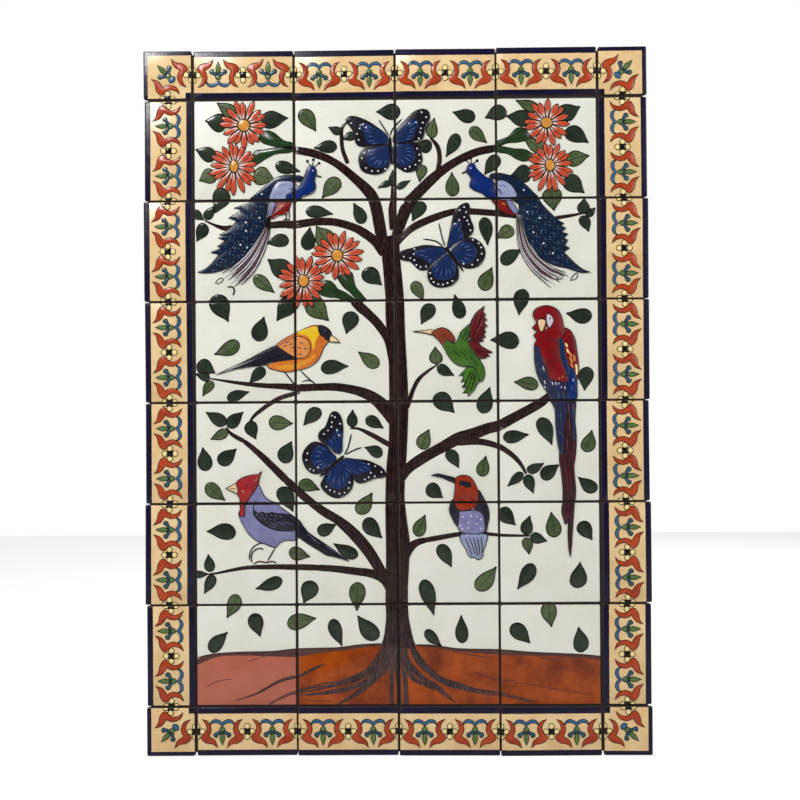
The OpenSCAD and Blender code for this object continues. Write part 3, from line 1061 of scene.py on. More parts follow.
# %% Butterflies
WINGS = (
    ((1.95, 5.59), "1.93,5.62 1.80,5.73 1.70,5.79 1.58,5.825 1.52,5.80 1.53,5.76 1.58,5.69 1.60,5.62 "
     "1.62,5.55 1.67,5.525 1.75,5.53 1.92,5.55", 0.70, 6),
    ((1.95, 5.50), "1.93,5.53 1.80,5.52 1.69,5.50 1.65,5.44 1.64,5.38 1.67,5.29 1.75,5.255 1.83,5.25 "
     "1.90,5.28 1.94,5.34", 0.76, 6),
    ((1.98, 5.59), "2.0,5.66 2.10,5.78 2.20,5.87 2.28,5.89 2.33,5.87 2.345,5.80 2.33,5.76 2.30,5.70 "
     "2.285,5.64 2.27,5.60 2.20,5.58 2.0,5.55", 0.68, 6),
    ((1.98, 5.50), "2.0,5.54 2.20,5.56 2.24,5.52 2.26,5.45 2.265,5.38 2.22,5.30 2.12,5.27 2.05,5.30 "
     "1.98,5.36", 0.76, 6),
    ((2.51, 4.50), "2.51,4.52 2.53,4.62 2.55,4.72 2.565,4.80 2.59,4.87 2.63,4.92 2.68,4.95 2.72,4.95 "
     "2.735,4.90 2.73,4.83 2.755,4.76 2.77,4.71 2.76,4.66 2.73,4.63 2.68,4.61 2.60,4.57 "
     "2.53,4.51", 0.62, 5),
    ((2.49, 4.48), "2.49,4.51 2.40,4.53 2.28,4.54 2.15,4.51 2.06,4.485 2.035,4.455 2.05,4.41 "
     "2.09,4.395 2.14,4.385 2.18,4.35 2.22,4.31 2.27,4.295 2.32,4.305 2.36,4.345 2.42,4.39 "
     "2.49,4.45", 0.66, 5),
    ((2.53, 4.47), "2.56,4.50 2.62,4.56 2.70,4.61 2.77,4.605 2.83,4.57 2.87,4.52 2.885,4.46 2.86,4.38 "
     "2.81,4.33 2.72,4.31 2.66,4.33 2.60,4.37 2.55,4.43", 0.76, 7),
    ((2.50, 4.45), "2.48,4.44 2.42,4.38 2.35,4.33 2.32,4.28 2.32,4.21 2.36,4.15 2.43,4.125 2.50,4.13 "
     "2.56,4.15 2.61,4.20 2.62,4.27 2.61,4.33 2.56,4.40 2.51,4.45", 0.78, 7),
    ((1.46, 2.47), "1.43,2.50 1.455,2.58 1.465,2.68 1.465,2.78 1.445,2.86 1.41,2.90 1.37,2.905 "
     "1.34,2.87 1.315,2.80 1.29,2.75 1.25,2.72 1.225,2.67 1.24,2.62 1.28,2.60 1.33,2.56 "
     "1.39,2.50", 0.62, 5),
    ((1.41, 2.46), "1.36,2.50 1.30,2.57 1.23,2.60 1.17,2.605 1.11,2.56 1.07,2.49 1.07,2.42 1.10,2.35 "
     "1.15,2.305 1.21,2.295 1.28,2.31 1.34,2.37 1.40,2.44", 0.76, 7),
    ((1.43, 2.43), "1.42,2.43 1.34,2.36 1.29,2.28 1.26,2.22 1.245,2.18 1.28,2.12 1.35,2.07 1.43,2.055 "
     "1.50,2.09 1.55,2.15 1.565,2.22 1.55,2.30 1.50,2.38 1.46,2.43", 0.78, 7),
    ((1.47, 2.43), "1.47,2.44 1.58,2.435 1.70,2.42 1.80,2.38 1.86,2.34 1.885,2.29 1.87,2.255 1.80,2.25 "
     "1.72,2.22 1.65,2.20 1.60,2.21 1.56,2.26 1.52,2.33 1.47,2.40", 0.66, 5),
)
BODIES = (
    "1.945,5.63,.03 1.95,5.55,.04 1.955,5.45,.035 1.965,5.34,.02",
    "2.49,4.52,.03 2.54,4.46,.04 2.60,4.38,.035 2.67,4.28,.02",
    "1.475,2.47,.03 1.42,2.42,.04 1.33,2.34,.035 1.235,2.265,.02",
)
FEELERS = (
    "1.94,5.63 1.89,5.71 1.84,5.79",
    "1.95,5.63 1.98,5.70 2.07,5.80",
    "2.49,4.53 2.46,4.62 2.43,4.76",
    "2.47,4.53 2.40,4.58 2.27,4.605",
    "1.48,2.48 1.52,2.56 1.55,2.685",
    "1.49,2.48 1.57,2.52 1.65,2.55",
)
WING_DOTS = """
1.565,5.755 1.685,5.745 1.715,5.715 1.65,5.705 1.625,5.65 1.64,5.59 1.695,5.46 1.67,5.41 1.71,5.31
1.77,5.28 1.83,5.28 1.90,5.30 2.265,5.86 2.31,5.81 2.21,5.76 2.14,5.75 2.275,5.755 2.255,5.70 2.25,5.66
2.235,5.60 2.22,5.50 2.24,5.44 2.24,5.38 2.20,5.34 2.145,5.32 2.10,5.30 2.68,4.915 2.635,4.885 2.70,4.865
2.68,4.815 2.63,4.785 2.71,4.78 2.585,4.75 2.725,4.745 2.74,4.685 2.185,4.505 2.18,4.455 2.08,4.43
2.145,4.415 2.185,4.395 2.205,4.345 2.245,4.325 2.30,4.33 2.765,4.59 2.82,4.555 2.845,4.515 2.85,4.45
2.81,4.39 2.755,4.345 2.67,4.355 2.34,4.265 2.35,4.21 2.375,4.175 2.42,4.155 2.465,4.15 2.51,4.165
2.56,4.185 1.36,2.865 1.39,2.85 1.36,2.80 1.355,2.755 1.44,2.785 1.32,2.72 1.41,2.72 1.28,2.685 1.43,2.67
1.115,2.495 1.105,2.43 1.14,2.34 1.175,2.325 1.22,2.355 1.30,2.165 1.335,2.13 1.38,2.115 1.43,2.095
1.48,2.105 1.52,2.15 1.53,2.205 1.72,2.385 1.785,2.365 1.74,2.30 1.845,2.305 1.72,2.255 1.78,2.265
1.68,2.235
"""
for root, text, inner, streaks in WINGS:
    add_wing(root, text, inner, streaks)
for text in BODIES:
    bead("lines", "line", smooth(read_points(text), False, 4), None, 1.9 * MM, 1.3 * MM)
for text in FEELERS:
    draw(text, 2.4 * MM, 1.4 * MM)
dots("butterflies", "dot", WING_DOTS, 1.35 * MM, 1.9 * MM)
print("wings:", len(WINGS))

# %% [markdown]
# Each bird is a few cushions of coloured glaze, one over another, with dark outlines, and then
# feather strokes. A cushion is given as its glaze, its layer and its outline. A stroke is given
# as its glaze, its width in millimetres and its line.


# %% Birds helper
def add_bird(cushions, strokes):
    """Lays a bird's cushions in layers and draws the strokes over them."""
    for index, (glaze_name, layer, text) in enumerate(cushions):
        base = (1.0 + 0.3 * layer + 0.01 * index) * MM
        fill("birds", glaze_name, text, base, 0.5 * MM, 1.6 * MM, 0.75 * MM)
    for glaze_name, width, text in strokes:
        for part in text.split("|"):
            line = smooth(read_points(part), False, 3)
            base = 0.3 * MM if glaze_name == "leg" else 1.9 * MM
            bead("birds", glaze_name, line, width * 1.25 * MM, 0.9 * MM, base)


before_birds = len(shapes)
print("shapes before the birds:", before_birds)


# %% Goldfinch and hummingbird
add_bird(
    (
        ("orange", 0, ".72,3.36 .80,3.32 .90,3.30 1.0,3.31 1.12,3.34 1.20,3.39 1.25,3.46 1.28,3.54 "
         "1.33,3.60 1.31,3.63 1.25,3.66 1.23,3.75 1.18,3.755 1.1,3.73 1.02,3.69 .93,3.65 .85,3.60 "
         ".80,3.55 .75,3.42"),
        ("ink", 1, ".22,3.28! .35,3.34 .5,3.41 .65,3.49 .80,3.56 .84,3.54 .92,3.50 .98,3.46 1.03,3.435 "
         ".95,3.42 .80,3.40 .70,3.37 .55,3.355 .40,3.33"),
        ("peach", 2, ".84,3.56 .92,3.61 1.0,3.645 1.08,3.64 1.14,3.59 1.15,3.52 1.12,3.46 1.05,3.43 "
         ".98,3.45 .90,3.50 .83,3.55"),
        ("ink", 1, "1.23,3.755 1.29,3.745 1.34,3.71 1.36,3.66 1.35,3.62 1.31,3.61 1.28,3.65 1.24,3.68 "
         "1.23,3.72"),
        ("beak", 2, "1.35,3.66! 1.40,3.63 1.44,3.585! 1.38,3.59 1.34,3.60"),
    ),
    (
        ("ink", 1.5, ".90,3.585 .94,3.60|.94,3.57 .98,3.58|.88,3.555 .92,3.56|1.04,3.59 "
         "1.08,3.58|1.02,3.54 1.06,3.53|1.08,3.53 1.12,3.525|.98,3.50 1.02,3.50|1.03,3.47 "
         "1.07,3.475|.96,3.54 .99,3.54|.98,3.615 1.02,3.62"),
        ("line", 1.0, ".36,3.345 .60,3.44 .83,3.53|.40,3.335 .65,3.40 .90,3.48|.45,3.335 .70,3.385 "
         ".97,3.45"),
        ("leg", 1.8, ".89,3.30 .93,3.25 .97,3.20 1.0,3.165|1.05,3.31 1.13,3.23 1.18,3.19 "
         "1.20,3.17|1.06,3.20 1.12,3.215 1.17,3.20"),
        ("dot", 1.2, "1.288,3.70 1.294,3.702"),
    ),
)
YELLOW_NAPE = outline(
    "1.02,3.685 1.1,3.72 1.2,3.745 1.235,3.72 1.235,3.66 1.20,3.60 1.18,3.52 1.165,3.58 1.13,3.64 "
    "1.08,3.665"
)
pool("birds", "yellow", YELLOW_NAPE, 0.45 * MM, 1.25 * MM)
AMBER_BELLY = outline(
    ".80,3.345 .92,3.325 1.05,3.34 1.15,3.40 1.20,3.47 1.13,3.43 1.0,3.38 .88,3.365"
)
pool("birds", "amber", AMBER_BELLY, 0.35 * MM, 1.25 * MM)
add_bird(
    (
        ("green", 0, "2.70,3.33 2.62,3.25! 2.66,3.25 2.64,3.19! 2.68,3.19 2.65,3.14! 2.69,3.13 "
         "2.66,3.08! 2.70,3.08 2.71,3.05! 2.76,3.10 2.80,3.17 2.83,3.21 2.80,3.28 2.76,3.33"),
        ("feather_red", 1, "2.73,3.75 2.76,3.82 2.80,3.88 2.87,3.93! 2.86,3.88 2.885,3.85! 2.87,3.83 "
         "2.895,3.80! 2.87,3.77 2.90,3.74! 2.87,3.71 2.885,3.68! 2.865,3.66 2.88,3.63! 2.85,3.61 "
         "2.86,3.59! 2.82,3.58 2.84,3.54 2.945,3.48! 2.90,3.46 2.92,3.44! 2.87,3.43 2.88,3.42! "
         "2.84,3.42 2.80,3.42 2.74,3.50 2.71,3.54 2.73,3.60 2.73,3.68"),
        ("green", 2, "2.46,3.56 2.50,3.60 2.56,3.57 2.60,3.59 2.64,3.68 2.70,3.74 2.73,3.75 2.72,3.66 "
         "2.71,3.58 2.74,3.52 2.78,3.46 2.82,3.41 2.86,3.34 2.87,3.26 2.84,3.19 2.82,3.21 2.80,3.28 "
         "2.76,3.33 2.70,3.34 2.62,3.35 2.56,3.39 2.51,3.45 2.48,3.51"),
        ("rust", 3, "2.35,3.67 2.40,3.71 2.45,3.725 2.50,3.71 2.54,3.68 2.58,3.61 2.56,3.58 2.50,3.60 "
         "2.46,3.56 2.42,3.60 2.38,3.64"),
        ("beak", 2, "2.17,3.69! 2.27,3.697 2.38,3.70 2.36,3.66 2.28,3.675"),
    ),
    (
        ("line", 1.0, "2.74,3.60 2.80,3.72 2.85,3.86|2.75,3.59 2.81,3.68 2.875,3.79|2.76,3.58 "
         "2.82,3.64 2.88,3.73|2.77,3.57 2.82,3.60 2.87,3.66|2.74,3.65 2.77,3.75 2.81,3.86|2.77,3.53 "
         "2.83,3.49 2.91,3.48|2.78,3.50 2.83,3.46 2.89,3.445|2.64,3.60 2.68,3.66 2.71,3.72|2.67,3.58 "
         "2.70,3.63"),
        ("line", 0.9, "2.74,3.30 2.70,3.22 2.66,3.12|2.76,3.29 2.73,3.20 2.69,3.09|2.78,3.28 2.76,3.18 "
         "2.72,3.08|2.55,3.50 2.60,3.47 2.64,3.42|2.62,3.50 2.67,3.46 2.70,3.40|2.72,3.44 2.77,3.39 "
         "2.80,3.33"),
        ("belly_red", 1.6, "2.73,3.62 2.77,3.72 2.82,3.83|2.76,3.61 2.81,3.70 2.86,3.77"),
        ("line", 2.2, "2.448,3.668 2.455,3.668"),
    ),
)
print("two small birds")

# %% Macaw
add_bird(
    (
        ("plum", 0, "3.57,2.75 3.585,2.6 3.60,2.5 3.60,2.4 3.615,2.3 3.63,2.15 3.63,2.0 3.62,1.9 "
         "3.64,1.82 3.655,1.78 3.67,1.80 3.685,1.85 3.68,1.7 3.685,1.55 3.70,1.46! 3.71,1.55 "
         "3.725,1.75 3.74,1.95 3.755,2.1 3.745,2.25 3.74,2.35 3.755,2.45 3.765,2.6 3.75,2.82 3.70,2.97 "
         "3.63,2.92"),
        ("slate", 1, "3.49,3.06 3.505,3.01 3.54,2.955 3.56,2.90 3.565,2.75 3.58,2.6 3.60,2.5 3.63,2.46 "
         "3.65,2.55 3.66,2.70 3.67,2.85 3.70,2.88 3.72,2.72 3.74,2.60 3.765,2.62 3.755,2.75 3.755,2.85 "
         "3.765,3.0 3.77,3.12 3.70,3.20 3.60,3.20 3.52,3.20 3.47,3.12"),
        ("slate", 2, "3.365,3.54 3.36,3.47 3.36,3.40 3.375,3.30 3.40,3.22 3.43,3.16 3.475,3.095 "
         "3.51,3.10 3.53,3.16 3.50,3.22 3.47,3.30 3.44,3.42 3.41,3.52"),
        ("scarlet", 3, "3.35,3.86 3.37,3.90 3.43,3.93 3.50,3.935 3.57,3.91 3.61,3.87 3.635,3.80 "
         "3.65,3.72 3.655,3.66 3.63,3.60 3.62,3.50 3.63,3.40 3.66,3.30 3.69,3.21 3.66,3.18 3.60,3.19 "
         "3.52,3.21 3.49,3.27 3.455,3.36 3.42,3.47 3.40,3.53 3.36,3.545 3.38,3.60 3.355,3.645 "
         "3.385,3.685 3.345,3.715 3.38,3.77 3.355,3.82"),
        ("royal", 3, "3.70,3.33 3.74,3.30 3.77,3.24 3.775,3.14 3.77,3.02 3.73,2.98 3.69,3.02 3.68,3.10 "
         "3.69,3.20 3.68,3.27"),
        ("scarlet", 2, "3.65,3.71 3.69,3.705 3.73,3.67 3.76,3.60 3.775,3.5 3.79,3.38 3.79,3.28 "
         "3.77,3.20 3.74,3.26 3.70,3.33 3.65,3.40 3.63,3.50 3.63,3.62"),
        ("wing_blue", 4, "3.61,3.61 3.635,3.60 3.65,3.54 3.66,3.46 3.685,3.38 3.70,3.30 3.685,3.24 "
         "3.66,3.30 3.63,3.38 3.61,3.47 3.605,3.55"),
        ("beak", 4, "3.395,3.785 3.43,3.805 3.47,3.785 3.46,3.73 3.43,3.68 3.405,3.72"),
        ("face", 4, "3.48,3.835 3.50,3.855 3.53,3.835 3.55,3.79 3.535,3.75 3.505,3.72 3.485,3.76"),
    ),
    (
        ("butter", 3.2, "3.665,3.565 3.685,3.525|3.675,3.51 3.70,3.465|3.765,3.36 3.775,3.30 3.77,3.25"),
        ("peach", 3.2, "3.70,3.475 3.73,3.43|3.705,3.43 3.735,3.37|3.715,3.37 3.74,3.32|3.745,3.45 "
         "3.755,3.38"),
        ("line", 0.9, "3.66,3.60 3.70,3.55 3.73,3.48 3.75,3.38|3.67,3.50 3.69,3.49|3.69,3.44 "
         "3.71,3.44|3.70,3.40 3.725,3.395|3.70,3.66 3.74,3.57 3.755,3.48|3.69,3.63 3.715,3.58"),
        ("feather_red", 1.2, "3.44,3.47 3.46,3.38 3.49,3.29|3.60,3.50 3.61,3.42 3.64,3.32|3.48,3.66 "
         "3.46,3.60|3.60,3.64 3.61,3.58"),
        ("orange", 1.6, "3.625,3.25 3.635,3.215|3.60,3.23 3.605,3.20"),
        ("dot", 1.4, "3.53,3.185 3.54,3.15|3.565,3.185 3.57,3.15|3.595,3.18 3.595,3.155|3.44,3.34 "
         "3.455,3.29|3.69,3.28 3.70,3.25|3.735,3.22 3.74,3.18|3.655,3.14 3.66,3.11|3.455,3.20 "
         "3.465,3.16|3.45,3.14 3.47,3.12|3.62,3.14 3.625,3.12"),
        ("fleck", 1.2, "3.39,3.40 3.40,3.32|3.41,3.33 3.43,3.25|3.43,3.22 3.45,3.17|3.59,3.09 "
         "3.60,3.0|3.55,3.02 3.58,2.95|3.61,2.9 3.61,2.8|3.64,3.08 3.65,2.98|3.72,3.16 "
         "3.73,3.08|3.74,2.95 3.74,2.85|3.60,2.72 3.605,2.65"),
        ("royal", 1.8, "3.66,3.06 3.67,2.98|3.615,3.06 3.625,2.96|3.585,2.90 3.59,2.80|3.64,2.88 "
         "3.645,2.76|3.60,3.16 3.61,3.11|3.735,2.80 3.745,2.70|3.62,2.66 3.625,2.58|3.57,3.13 "
         "3.575,3.08"),
        ("feather_red", 1.6, "3.69,2.96 3.695,2.88|3.735,2.97 3.74,2.90|3.695,2.80 3.70,2.66|3.67,2.62 "
         "3.68,2.5"),
        ("line", 0.9, "3.55,3.05 3.59,2.92 3.60,2.7 3.61,2.5|3.60,3.10 3.64,2.95 3.65,2.7 "
         "3.65,2.5|3.65,3.10 3.68,2.9 3.69,2.7 3.685,2.5|3.70,3.0 3.72,2.85 3.72,2.65 3.715,2.5"),
        ("line", 0.9, "3.63,2.46 3.65,2.3 3.665,2.1 3.665,1.9|3.67,2.46 3.69,2.3 3.70,2.1 3.70,1.85 "
         "3.70,1.6|3.71,2.45 3.715,2.3 3.73,2.15 3.72,1.95"),
        ("feather_red", 1.2, "3.645,2.40 3.665,2.25 3.68,2.08|3.69,2.40 3.705,2.2 3.715,2.05|3.73,2.40 "
         "3.735,2.2"),
        ("line", 0.8, "3.385,3.45 3.40,3.33 3.45,3.19"),
        ("beak", 1.6, "3.465,3.705 3.485,3.725"),
        ("line", 1.2, "3.40,3.80 3.45,3.81 3.475,3.77 3.465,3.73 3.435,3.68|3.44,3.68 3.47,3.685 "
         "3.50,3.72"),
    ),
)
dots("birds", "line", "3.517,3.81", 1.5 * MM, 2.5 * MM)
print("macaw")

# %% Cardinal and orange-headed bird
add_bird(
    (
        ("lilac", 0, ".62,2.18 .65,2.14 .68,2.08 .72,2.04 .80,2.0 .88,1.94 .95,1.89 1.02,1.82 1.05,1.7 "
         ".98,1.64 .90,1.64 .83,1.61 .79,1.57 .70,1.60 .62,1.63 .54,1.69 .48,1.78 .43,1.90 .46,1.95"),
        ("ink", 1, "1.0,1.84 1.08,1.76 1.12,1.71 1.25,1.62 1.38,1.53 1.45,1.47 1.515,1.43! 1.46,1.45 "
         "1.35,1.48 1.30,1.49 1.22,1.54 1.12,1.60 1.05,1.65 1.0,1.70"),
        ("brown_wing", 2, ".58,1.93 .62,1.91 .66,1.92 .70,1.905 .75,1.915 .80,1.905 .86,1.90 .93,1.89 "
         "1.0,1.85 1.05,1.80 1.0,1.74 .92,1.73 .80,1.74 .70,1.78 .63,1.83 .59,1.88"),
        ("head_red", 3, ".405,2.20 .44,2.24 .50,2.27 .56,2.285 .62,2.29 .655,2.315! .635,2.26 .625,2.2 "
         ".60,2.15 .56,2.09 .52,2.03 .49,1.97 .485,1.89 .465,1.875 .44,1.89 .445,1.96 .44,2.05 "
         ".42,2.10 .42,2.15"),
        ("beak", 2, ".305,2.15! .36,2.18 .41,2.20 .42,2.15 .42,2.10 .37,2.12"),
    ),
    (
        ("line", 1.0, ".59,2.03 .575,1.95 .58,1.88|.66,1.90 .72,1.85 .80,1.80|.70,1.90 .78,1.85 "
         ".88,1.80|.78,1.90 .86,1.85 .95,1.80|.86,1.89 .93,1.85 1.0,1.80|1.03,1.78 1.15,1.69 "
         "1.30,1.58|1.02,1.74 1.15,1.65 1.32,1.54|1.02,1.70 1.13,1.62 1.27,1.54|.62,1.88 .66,1.82 "
         ".73,1.77"),
        ("lilac", 1.2, ".61,1.905 .625,1.885|.655,1.90 .67,1.88|.70,1.89 .715,1.87|.745,1.895 "
         ".76,1.875|.79,1.89 .805,1.87|.835,1.885 .85,1.865|.64,1.865 .655,1.85|.685,1.855 "
         ".70,1.84|.73,1.855 .745,1.84|.775,1.85 .79,1.835"),
        ("lilac", 0.8, ".74,1.815 .82,1.785|.80,1.825 .90,1.785|.72,1.785 .80,1.76|.87,1.83 "
         ".97,1.785|1.10,1.70 1.20,1.63|1.14,1.66 1.26,1.58|1.28,1.585 1.38,1.515"),
        ("leg", 1.8, ".79,1.565 .75,1.50 .71,1.43|.57,1.40 .62,1.43 .70,1.42 .76,1.43 "
         ".80,1.41|.67,1.54 .65,1.56 .60,1.55 .56,1.51 .55,1.45 .56,1.42|.53,1.45 .54,1.52 .58,1.58 "
         ".64,1.61 .70,1.61 .76,1.59 .79,1.565"),
        ("beak", 0.9, ".45,2.14 .50,2.10|.58,2.22 .62,2.24"),
        ("line", 1.8, ".475,2.18 .525,2.18"),
        ("line", 1.0, ".33,2.15 .41,2.15"),
    ),
)
add_bird(
    (
        ("lavender", 0, "2.62,1.68 2.63,1.60 2.67,1.54 2.69,1.49 2.72,1.455 2.75,1.46 2.79,1.435 "
         "2.83,1.46 2.84,1.52 2.87,1.60 2.875,1.68"),
        ("lilac", 1, "2.61,1.91 2.68,1.915 2.74,1.92 2.80,1.91 2.85,1.87 2.865,1.80 2.86,1.72 "
         "2.80,1.69 2.70,1.69 2.62,1.71 2.59,1.76 2.58,1.82"),
        ("brown_wing", 2, "2.555,2.03 2.52,1.98 2.51,1.92 2.53,1.86 2.56,1.80 2.59,1.76! 2.60,1.85 "
         "2.60,1.92 2.57,1.97"),
        ("brown_wing", 2, "2.79,2.12 2.84,2.06 2.87,2.0 2.895,1.93 2.90,1.85 2.885,1.78 2.87,1.70! "
         "2.86,1.78 2.85,1.85 2.82,1.90 2.78,1.92 2.76,1.95 2.80,2.03"),
        ("head_orange", 3, "2.57,2.23 2.60,2.26 2.66,2.27 2.72,2.25 2.76,2.20 2.79,2.12 2.80,2.05 "
         "2.78,1.98 2.74,1.94 2.68,1.92 2.61,1.92 2.57,1.97 2.555,2.03 2.565,2.1 2.57,2.18"),
        ("ink", 2, "2.34,2.27! 2.40,2.285 2.48,2.265 2.57,2.24 2.59,2.20 2.52,2.215 2.44,2.25"),
        ("ink", 4, "2.62,2.21 2.68,2.205 2.73,2.18 2.70,2.15 2.66,2.16 2.61,2.19"),
    ),
    (
        ("line", 1.2, "2.66,1.66 2.70,1.56 2.73,1.47|2.70,1.66 2.74,1.56 2.76,1.48|2.74,1.66 2.77,1.56 "
         "2.79,1.46|2.78,1.66 2.80,1.56 2.81,1.47|2.82,1.66 2.83,1.57 2.83,1.50"),
        ("line", 0.9, "2.83,2.04 2.86,1.96 2.88,1.86|2.81,2.0 2.84,1.93 2.87,1.84|2.54,1.97 2.54,1.89 "
         "2.57,1.83|2.60,2.05 2.64,2.01 2.70,1.99|2.70,2.07 2.74,2.03 2.77,1.99"),
        ("line", 1.8, "2.66,1.70 2.655,1.68|2.80,1.70 2.80,1.68"),
    ),
)
dots("birds", "shaft", "2.64,1.86 2.725,1.865 2.78,1.86 2.695,1.80 2.775,1.785 2.615,1.77 2.635,1.74 "
     "2.69,1.745 2.82,1.83 2.82,1.74", 1.5 * MM, 1.6 * MM)
print("two more birds")

# %% [markdown]
# The two peacocks hang their tails below the boughs. A tail is a teal cushion with a ragged edge,
# flecked all over with small strokes of lighter glaze, and a bundle of pale shafts beside it.


# %% Tails
def inside(points, spot_at):
    """Whether a point lies inside an outline."""
    crossings = 0
    for a, b in zip(points, points[1:] + points[:1]):
        if (a.y > spot_at.y) != (b.y > spot_at.y):
            crossings += spot_at.x < a.x + (spot_at.y - a.y) / (b.y - a.y) * (b.x - a.x)
    return crossings % 2 == 1


def add_tail(text, lean):
    """A tail with its flecks, which lean the way it hangs."""
    fill("birds", "tail_teal", text, 1.0 * MM, 0.5 * MM, 1.0 * MM, 0.75 * MM)
    rim = outline(text)
    fence = inset(rim, 1.4 * MM)
    step = 0.036 * PITCH
    low_x, high_x = min(point.x for point in rim), max(point.x for point in rim)
    low_z, high_z = min(point.y for point in rim), max(point.y for point in rim)
    for row in range(int((high_z - low_z) / step)):
        for column in range(int((high_x - low_x) / step)):
            wander = math.sin(row * 3.1 + column * 5.3)
            x = low_x + (column + 0.5 * (row % 2) + 0.3 * wander) * step
            here = Vector((x, low_z + (row + 0.25 * wander) * step))
            turn = lean + 0.9 * wander
            ray = Vector((math.cos(turn), math.sin(turn))) * step * 0.3
            if inside(fence, here) and inside(fence, here + ray) and inside(fence, here - ray):
                glaze_name = ("fleck", "tail_teal", "fleck", "fleck_pale")[(row * 3 + column) % 4]
                stroke = line_of([here - ray, here, here + ray])
                bead("birds", glaze_name, stroke, 1.3 * MM, 0.45 * MM, 1.35 * MM)


def add_shafts(left, right, count):
    """A bundle of pale shafts with dark strokes between them, spread between its two edges."""
    first = smooth(read_points(left), False, 3)
    last = smooth(read_points(right), False, 3)
    for index in range(2 * count - 1):
        share = index / (2 * count - 2)
        line = [(a[0].lerp(b[0], share), 0.0) for a, b in zip(first, last)]
        line = line[: len(line) - index * 5 % 3]
        if index % 2:
            pale = ("shaft", "shaft", "plum_shaft")[index // 2 % 3]
            bead("birds", pale, line, 2.3 * MM, 0.5 * MM, 1.3 * MM)
        else:
            bead("birds", "line", line, 1.3 * MM, 0.9 * MM, 1.35 * MM)


print("shapes in the first five birds:", len(shapes) - before_birds)


# %% Left peacock
add_tail(
    ".60,5.02! .55,4.98! .405,4.93! .48,4.91! .35,4.83! .43,4.80! .38,4.75 .33,4.705! .26,4.665! "
    ".32,4.655! .245,4.635! .31,4.605! .235,4.55! .28,4.54! .17,4.49! .25,4.47! .21,4.42 .13,4.34 "
    ".04,4.295! .12,4.285 .22,4.295 .30,4.32 .38,4.36 .46,4.41 .53,4.47 .60,4.56 .66,4.65 .70,4.75 "
    ".72,4.86 .73,5.02",
    math.radians(60),
)
add_bird(
    (
        ("belly_red", 1, ".80,4.99 .86,5.0 .96,5.0 .95,4.92 .92,4.87 .84,4.85 .78,4.82 .77,4.85 .80,4.90"),
        ("lilac", 2, ".78,4.98 .82,4.97 .80,4.92 .77,4.85 .735,4.85 .75,4.90"),
        ("tail_teal", 1, ".57,5.0 .62,5.06 .70,5.13 .80,5.21 .88,5.24 .98,5.245 1.10,5.21 1.0,5.18 "
         ".88,5.15 .80,5.08 .77,5.0 .70,4.96"),
        ("lavender", 2, ".76,5.0 .78,5.10 .83,5.17 .90,5.19 .98,5.18 1.04,5.12 1.03,5.04 .96,4.99 "
         ".86,4.99"),
        ("royal", 3, "1.13,5.31 1.15,5.335 1.19,5.335 1.215,5.30 1.215,5.26 1.20,5.20 1.21,5.13 "
         "1.18,5.07 1.10,5.04 1.02,4.99 .96,4.99 .92,5.03 .96,5.08 1.03,5.11 1.07,5.17 1.10,5.23"),
    ),
    (
        ("leg", 1.4, "1.16,5.34 1.14,5.37|1.18,5.34 1.19,5.38|1.20,5.33 1.235,5.355"),
        ("leg", 1.6, ".925,4.87 .92,4.84 .915,4.81|.95,4.90 .95,4.81|.89,4.81 .92,4.815 .96,4.81"),
        ("leg", 1.1, "1.21,5.255 1.24,5.24 1.275,5.225|1.205,5.235 1.24,5.228 1.275,5.225"),
        ("royal", 2.2, ".92,5.05 .98,5.07 1.03,5.05|.95,5.10 1.0,5.12"),
        ("lilac", 1.6, ".83,5.13 .87,5.15 .92,5.155|.80,5.03 .82,5.08"),
        ("orange", 1.6, ".86,4.93 .90,4.95"),
        ("leg", 1.2, ".215,4.185 .22,4.20 .26,4.235 .29,4.225 .28,4.205 .24,4.18 .215,4.185"),
        ("leg", 2.2, ".33,4.145 .37,4.15 .395,4.13 .40,4.10 .385,4.065"),
    ),
)
dots("birds", "line", "1.13,5.385 1.19,5.40 1.245,5.365", 2.4 * MM, 0.6 * MM)
SPOTS_LEFT = "1.185,5.29 .655,4.83 .52,4.785 .52,4.70 .465,4.56 .53,4.535 .68,5.06"
dots("birds", "dot", SPOTS_LEFT, 1.4 * MM, 2.1 * MM)
add_shafts(
    ".735,4.85 .70,4.73 .62,4.60 .52,4.47 .42,4.38 .28,4.28",
    ".765,4.85 .755,4.70 .73,4.58 .66,4.40 .56,4.25 .42,4.13",
    8,
)
print("left peacock")

